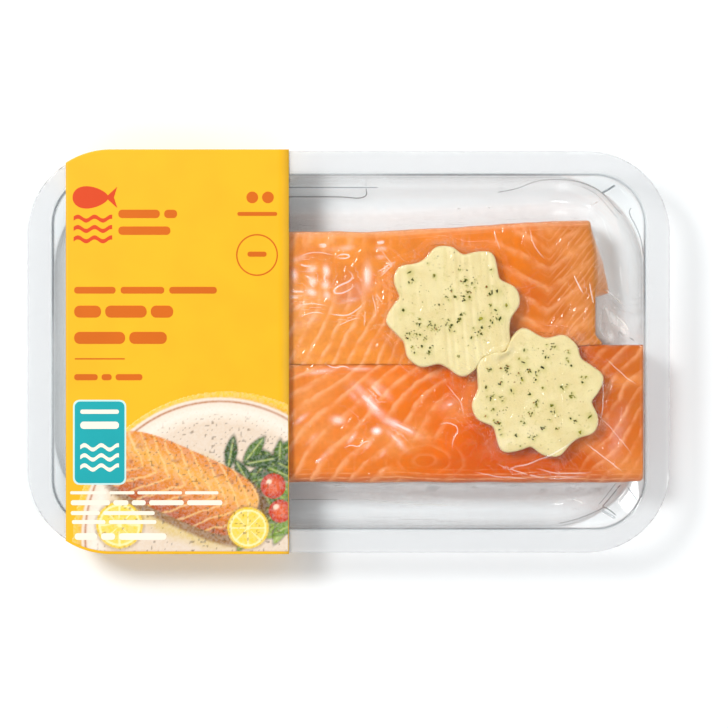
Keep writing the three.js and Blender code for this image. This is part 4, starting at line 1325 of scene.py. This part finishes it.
class Print:
    """Flat shapes of one ink on the label's top panel, each at a level above the paper."""

    def __init__(self):
        self.points, self.faces = [], []

    def shape(self, outline, level=1):
        outline = clip_to_label(outline, 0.2)
        if len(outline) < 3:
            return
        x, y = np.transpose(outline)
        if np.dot(x, np.roll(y, -1)) < np.dot(y, np.roll(x, -1)):
            outline = outline[::-1]
        heights = (LABEL_TOP + INK_LIFT, LABEL_TOP + INK * level)
        join(self.points, self.faces, loft([with_height(outline, z) for z in heights]))

    def bar(self, left, right, bottom, top, level=1, roundness=0.45):
        radius = roundness * min(right - left, top - bottom)
        plan = rounded_rectangle((right - left) / 2, (top - bottom) / 2, radius, (5, 1, 1))
        self.shape(plan + [(left + right) / 2, (bottom + top) / 2], level)

    def disc(self, x, y, radius):
        angles = np.linspace(0, 2 * pi, 40, endpoint=False)
        self.shape([(x + radius * cos(a), y + radius * sin(a)) for a in angles])

    def ring(self, x, y, radius, width):
        """A ring as short joined arcs, so that its middle stays bare."""
        steps = 48
        for step in range(steps):
            a, b = 2 * pi * step / steps, 2 * pi * (step + 1) / steps
            corners = [(radius, a), (radius, b), (radius - width, b), (radius - width, a)]
            self.shape([(x + r * cos(t), y + r * sin(t)) for r, t in corners])

    def done(self, name, ink):
        mesh_piece(name, self.points, self.faces, ink).data.shade_flat()


def word_bars(ink, lines, level=2):
    """Lines of print, one bar a word: left, bottom, height, the gap between words, and their widths."""
    for left, bottom, height, gap, *widths in lines:
        for width in widths:
            ink.bar(left, left + width, bottom, bottom + height, level)
            left += width + gap


def wavy_bands(ink, left, right, top, spacing, width, swing, level=1):
    """Three wavy stripes from left to right, one below another."""
    x = np.linspace(left, right, 28)
    for row in range(3):
        y = top - spacing * row + swing * np.sin((x - left) * 1.05)
        ink.shape([*zip(x, y - width / 2), *zip(x[::-1], y[::-1] + width / 2)], level)


def build_print():
    orange = Print()
    word_bars(orange, [(-82.4, 47.8, 3.0, 1.6, 14.8, 4.6), (-82.4, 41.8, 3.0, 1.6, 18.6)])
    orange.disc(-34.5, 55.2, 2.1)
    orange.disc(-28.9, 55.2, 2.1)
    word_bars(orange, [(-39.8, 48.6, 1.4, 1, 14.2)])
    orange.ring(-32.8, 34.6, 7.5, 0.5)
    word_bars(orange, [
        (-36.2, 34.0, 1.8, 1, 6.8), (-98.2, 20.8, 2.4, 1.8, 14.8, 15.6, 17.0),
        (-98.2, 12.2, 4.3, 1.5, 9.6, 14.8, 8.0), (-98.2, 2.8, 4.3, 1.5, 18.2, 13.4),
    ])
    orange.bar(-98.0, -80.1, -2.8, -2.3, roundness=0.3)
    word_bars(orange, [(-98.2, -10.2, 2.2, 1.4, 8.4, 3.6, 9.6)])
    orange.done("print_orange", coated_paper("ink_orange", 216, 104, 2))

    # A plain fish over waves.
    red = Print()
    angles = np.linspace(0, 2 * pi, 40)[:-1]
    red.shape([(-92.4 + 6.4 * cos(a), 55.2 + 3.9 * sin(a) * (1 - 0.25 * cos(a))) for a in angles])
    red.shape([(-87.0, 55.2), (-82.8, 51.4), (-84.0, 55.2), (-82.8, 59.0)], 2)
    wavy_bands(red, -98.4, -84.6, 47.6, 3.7, 1.5, 0.7)
    red.done("print_red", coated_paper("ink_red", 224, 72, 22))

    pale = Print()
    pale.bar(-98.6, -79.6, -47.6, -17.2, roundness=0.12)
    pale.done("badge_border", coated_paper("ink_pale", 205, 240, 236))
    teal = Print()
    teal.bar(-98.0, -80.2, -47.0, -17.8, level=2, roundness=0.11)
    teal.done("badge", coated_paper("ink_teal", 20, 168, 174))

    white = Print()
    word_bars(white, [(-96.0, -22.2, 1.5, 1, 13.8), (-96.0, -27.6, 2.6, 1, 13.8)], level=3)
    wavy_bands(white, -96, -82.2, -34.2, 3.6, 1.4, 0.8, level=3)
    word_bars(white, [
        (-99.6, -51.0, 1.1, 1.0, 13, 9, 16, 12), (-99.4, -54.9, 1.8, 1.2, 14.0, 5.4, 5.0, 12.4, 12.6),
        (-99.4, -58.4, 1.4, 1.2, 10.4, 18.4), (-99.0, -61.6, 1.4, 1.2, 12.0, 17.0),
        (-98.0, -67.3, 2.4, 1.4, 8.0, 5.0, 17.0),
    ])
    white.done("print_white", coated_paper("ink_white", 255, 244, 226))


LEAF_GREENS = [(74, 108, 24), (112, 146, 40), (48, 82, 22), (150, 174, 70)]


def picture_colours(x, y):
    """A plain served dish: a pale plate, a golden fillet, leaves, tomatoes and lemon."""
    rough = fractal_noise(x, y, 5, 61)
    plate = blob(x, y, -46, -66, 50, 50, 0)[0]
    shade = blob(x, y, -44, -69, 52, 52, 0)[0]
    sauce = blob(x, y, -58, -52, 30, 16, radians(-22), power=2.4)[0]
    ground = np.tile(srgb(251, 198, 52), (len(x), 1)) * (1 + 0.05 * rough[:, None])
    colours = painted(ground, [
        ((214, 150, 30), smoothstep(1.04, 0.97, shade) * 0.8),
        ((243, 226, 206), smoothstep(1.0, 0.985, plate)),
        ((190, 120, 70), bell(plate, 0.965, 0.008)),
        ((228, 204, 178), smoothstep(0.86, 0.8, plate) * 0.7),
        ((250, 238, 222), bell(plate, 0.9, 0.03) * 0.7),
        ((222, 190, 92), smoothstep(1.1, 0.8, sauce + 0.08 * rough) * 0.7),
    ])
    for leaf in range(46):
        turn, spread = 2.4 * leaf, 3.2 * sqrt(leaf)
        cx = -30 + spread * cos(turn) * 0.62 + (9 if leaf % 3 == 0 else 0)
        cy = -34 - spread * abs(sin(turn)) * 1.15 - (12 if leaf % 2 else 0)
        shape, _, across = blob(x, y, cx, cy, 6.2, 2.3, turn * 1.7 + 0.3, power=1.5)
        colours = painted(colours, [
            ((38, 56, 16), smoothstep(1.25, 1.0, shape) * 0.55),
            (LEAF_GREENS[leaf % 4], smoothstep(1.02, 0.9, shape)),
            ((196, 208, 120), smoothstep(0.9, 0.7, shape) * bell(across, 0, 0.14) * 0.7),
        ])
    fillet, along, across = blob(x, y, -60, -47, 29, 12.5, radians(-24), power=3.4)
    drop = blob(x, y, -58.5, -49.5, 29.5, 13, radians(-24), power=3.4)[0]
    flakes = np.sin((along * 29 + 3.5 * np.abs(across) * 4 + 1.5 * rough) * 1.15)
    golden = painted(np.tile(srgb(226, 130, 34), (len(x), 1)), [
        ((243, 176, 74), bell(across, 0.35, 0.35) * 0.9),
        ((176, 74, 18), smoothstep(0.2, 1.0, -across) * 0.9),
        ((252, 208, 130), smoothstep(0.6, 1, flakes) * 0.6),
        ((150, 64, 16), smoothstep(0.25, 0.75, fractal_noise(x, y, 2.6, 71)) * 0.55),
    ])
    colours = painted(colours, [((120, 52, 14), smoothstep(1.1, 0.98, drop) * 0.75)])
    colours = over(colours, golden, smoothstep(1.0, 0.97, fillet))
    # Slices of lemon.
    for cx, cy, size in ((-82, -62, 8.5), (-36, -63, 7.5)):
        disc = blob(x, y, cx, cy, size, size, 0)[0]
        bearing = np.arctan2(y - cy, x - cx)
        wedge = smoothstep(0.12, 0.3, np.abs(np.sin(4 * bearing))) * smoothstep(0.82, 0.76, disc)
        colours = painted(colours, [
            ((150, 110, 20), smoothstep(1.15, 0.98, disc) * 0.5),
            ((246, 204, 40), smoothstep(1.0, 0.96, disc)),
            ((255, 240, 170), smoothstep(0.9, 0.86, disc)),
            ((250, 214, 70), wedge * smoothstep(0.06, 0.14, disc)),
        ])
    # Tomatoes.
    for cx, cy, size in ((-27, -48, 4.6), (-24.5, -57, 4.2)):
        disc = blob(x, y, cx, cy, size, size, 0)[0]
        light = blob(x, y, cx - 1.5, cy + 1.5, 1.5, 1.2, 0.6)[0]
        colours = painted(colours, [
            ((196, 52, 20), smoothstep(1.0, 0.95, disc)),
            ((238, 110, 50), smoothstep(0.9, 0.3, disc) * 0.7),
            ((255, 220, 190), smoothstep(1.0, 0.4, light)),
        ])
    pepper = smoothstep(0.62, 0.75, value_noise(x, y, 0.8, 81)) * smoothstep(0.95, 0.8, plate)
    return np.clip(painted(colours, [((90, 60, 20), pepper * 0.6)]), 0, 1)


PICTURE_STEP = 0.4
PICTURE_TOP = -3.0


def build_picture():
    """The printed picture across the label's lower part, as painted fields of colour."""
    x = grid_lines([(LABEL_LEFT + 0.25, 0), (LABEL_RIGHT - 0.25, PICTURE_STEP)])
    share = grid_lines([(0, 0), (1, PICTURE_STEP / (PICTURE_TOP + FLANGE_HALF_WIDTH))])
    grid_x, grid_share = np.meshgrid(x, share)
    bottom = -(flange_half_width(grid_x) - 0.5)
    grid_y = bottom + (PICTURE_TOP - bottom) * grid_share
    lower = with_height(np.column_stack([grid_x.ravel(), grid_y.ravel()]), LABEL_TOP + INK_LIFT)
    # Beyond the plate and its shadow the label's own yellow shows.
    plate = blob(lower[:, 0], lower[:, 1], -44, -69, 53, 53, 0)[0]
    quads = grid_quads(*grid_x.shape)
    quads = quads[(plate[quads] < 1.03).any(axis=1)]
    points, faces, _ = closed_sheet(lower, lower + [0, 0, INK / 2], quads)
    piece = mesh_piece("label_picture", points, faces, printed_picture())
    paint(piece, "print", picture_colours(points[:, 0], points[:, 1]))


# All of the pack's pieces

plastic = clear_plastic()
build_tray(plastic)
build_ridges(plastic)
build_ribs(plastic)
food = [build_portion("back", back_lines), build_portion("front", front_lines)]
butter, leaf = herb_butter(), herbs()
food += [build_medallion(name, butter) for name in MEDALLIONS]
for name in MEDALLIONS:
    build_herbs(name, leaf)
build_film(food)
build_label()
build_print()
build_picture()


# The floor, the light and the camera

# In metres: half the floor's width, and each lamp's place and size, with its power.
FLOOR_HALF = 4.0
LAMPS = {
    "key": ((-0.73, 0.52, 1.3), (0.42, 0.42), 14.9),
    "right": ((0.95, -0.2, 0.55), (0.15, 0.6), 1.9),
    "back": ((0.1, 1.0, 0.7), (0.6, 0.1), 1.0),
    "front": ((-0.8, -0.85, 0.5), (0.5, 0.2), 1.3),
}
# How bright the surroundings are, from the horizon up: dim there, and dark straight above, so that flat
# gloss does not wash out what it covers.
SKY = [(0.0, 0.38), (0.5, 0.67), (0.8, 0.67), (0.97, 0.14)]


def build_floor():
    mesh = bpy.data.meshes.new("floor")
    corners = [(FLOOR_HALF * x, FLOOR_HALF * y, 0) for x, y in ((-1, -1), (1, -1), (1, 1), (-1, 1))]
    mesh.from_pydata(corners, [], [(0, 1, 2, 3)])
    floor = new_object("floor", mesh)
    white = Look("floor_white").finish(Base_Color=(0.965, 0.99, 1, 1), Roughness=0.9, Specular_IOR_Level=0.1)
    mesh.materials.append(white)


def build_light():
    for name, (place, size, power) in LAMPS.items():
        light = bpy.data.lights.new(name, "AREA")
        light.shape = "RECTANGLE"
        light.size, light.size_y = size
        light.energy = power
        lamp = new_object(name, light)
        lamp.location = place
        lamp.rotation_euler = (-Vector(place)).to_track_quat("-Z", "Y").to_euler()
    world = bpy.data.worlds.new("studio")
    bpy.context.scene.world = world
    world.use_nodes = True
    tree = world.node_tree
    background = tree.nodes["Background"]
    where = tree.nodes.new("ShaderNodeTexCoord")
    split = tree.nodes.new("ShaderNodeSeparateXYZ")
    ramp = tree.nodes.new("ShaderNodeValToRGB")
    tree.links.new(where.outputs["Generated"], split.inputs[0])
    tree.links.new(split.outputs["Z"], ramp.inputs["Fac"])
    tree.links.new(ramp.outputs[0], background.inputs["Color"])
    stops = ramp.color_ramp.elements
    stops.remove(stops[1])
    for height, level in SKY:
        stop = stops.new(height) if height else stops[0]
        stop.color = (level, level, level, 1)


CAMERA_DISTANCE = 1500
VIEW_CENTRE = (5.46, -4.39)
VIEW_WIDTH = 260.6
SENSOR = 36
FARTHEST_SEEN = 20000


def build_camera():
    camera = bpy.data.cameras.new("camera")
    camera.sensor_width = SENSOR
    camera.lens = SENSOR * CAMERA_DISTANCE / VIEW_WIDTH
    camera.clip_end = FARTHEST_SEEN * MM
    holder = new_object("camera", camera)
    holder.location = (VIEW_CENTRE[0] * MM, VIEW_CENTRE[1] * MM, (CAMERA_DISTANCE + FLANGE_Z) * MM)
    bpy.context.scene.camera = holder


build_floor()
build_light()
build_camera()
scene = bpy.context.scene
scene.view_settings.view_transform = "Standard"
scene.cycles.transparent_max_bounces = 16
scene.cycles.max_bounces = 5
scene.cycles.glossy_bounces = 3
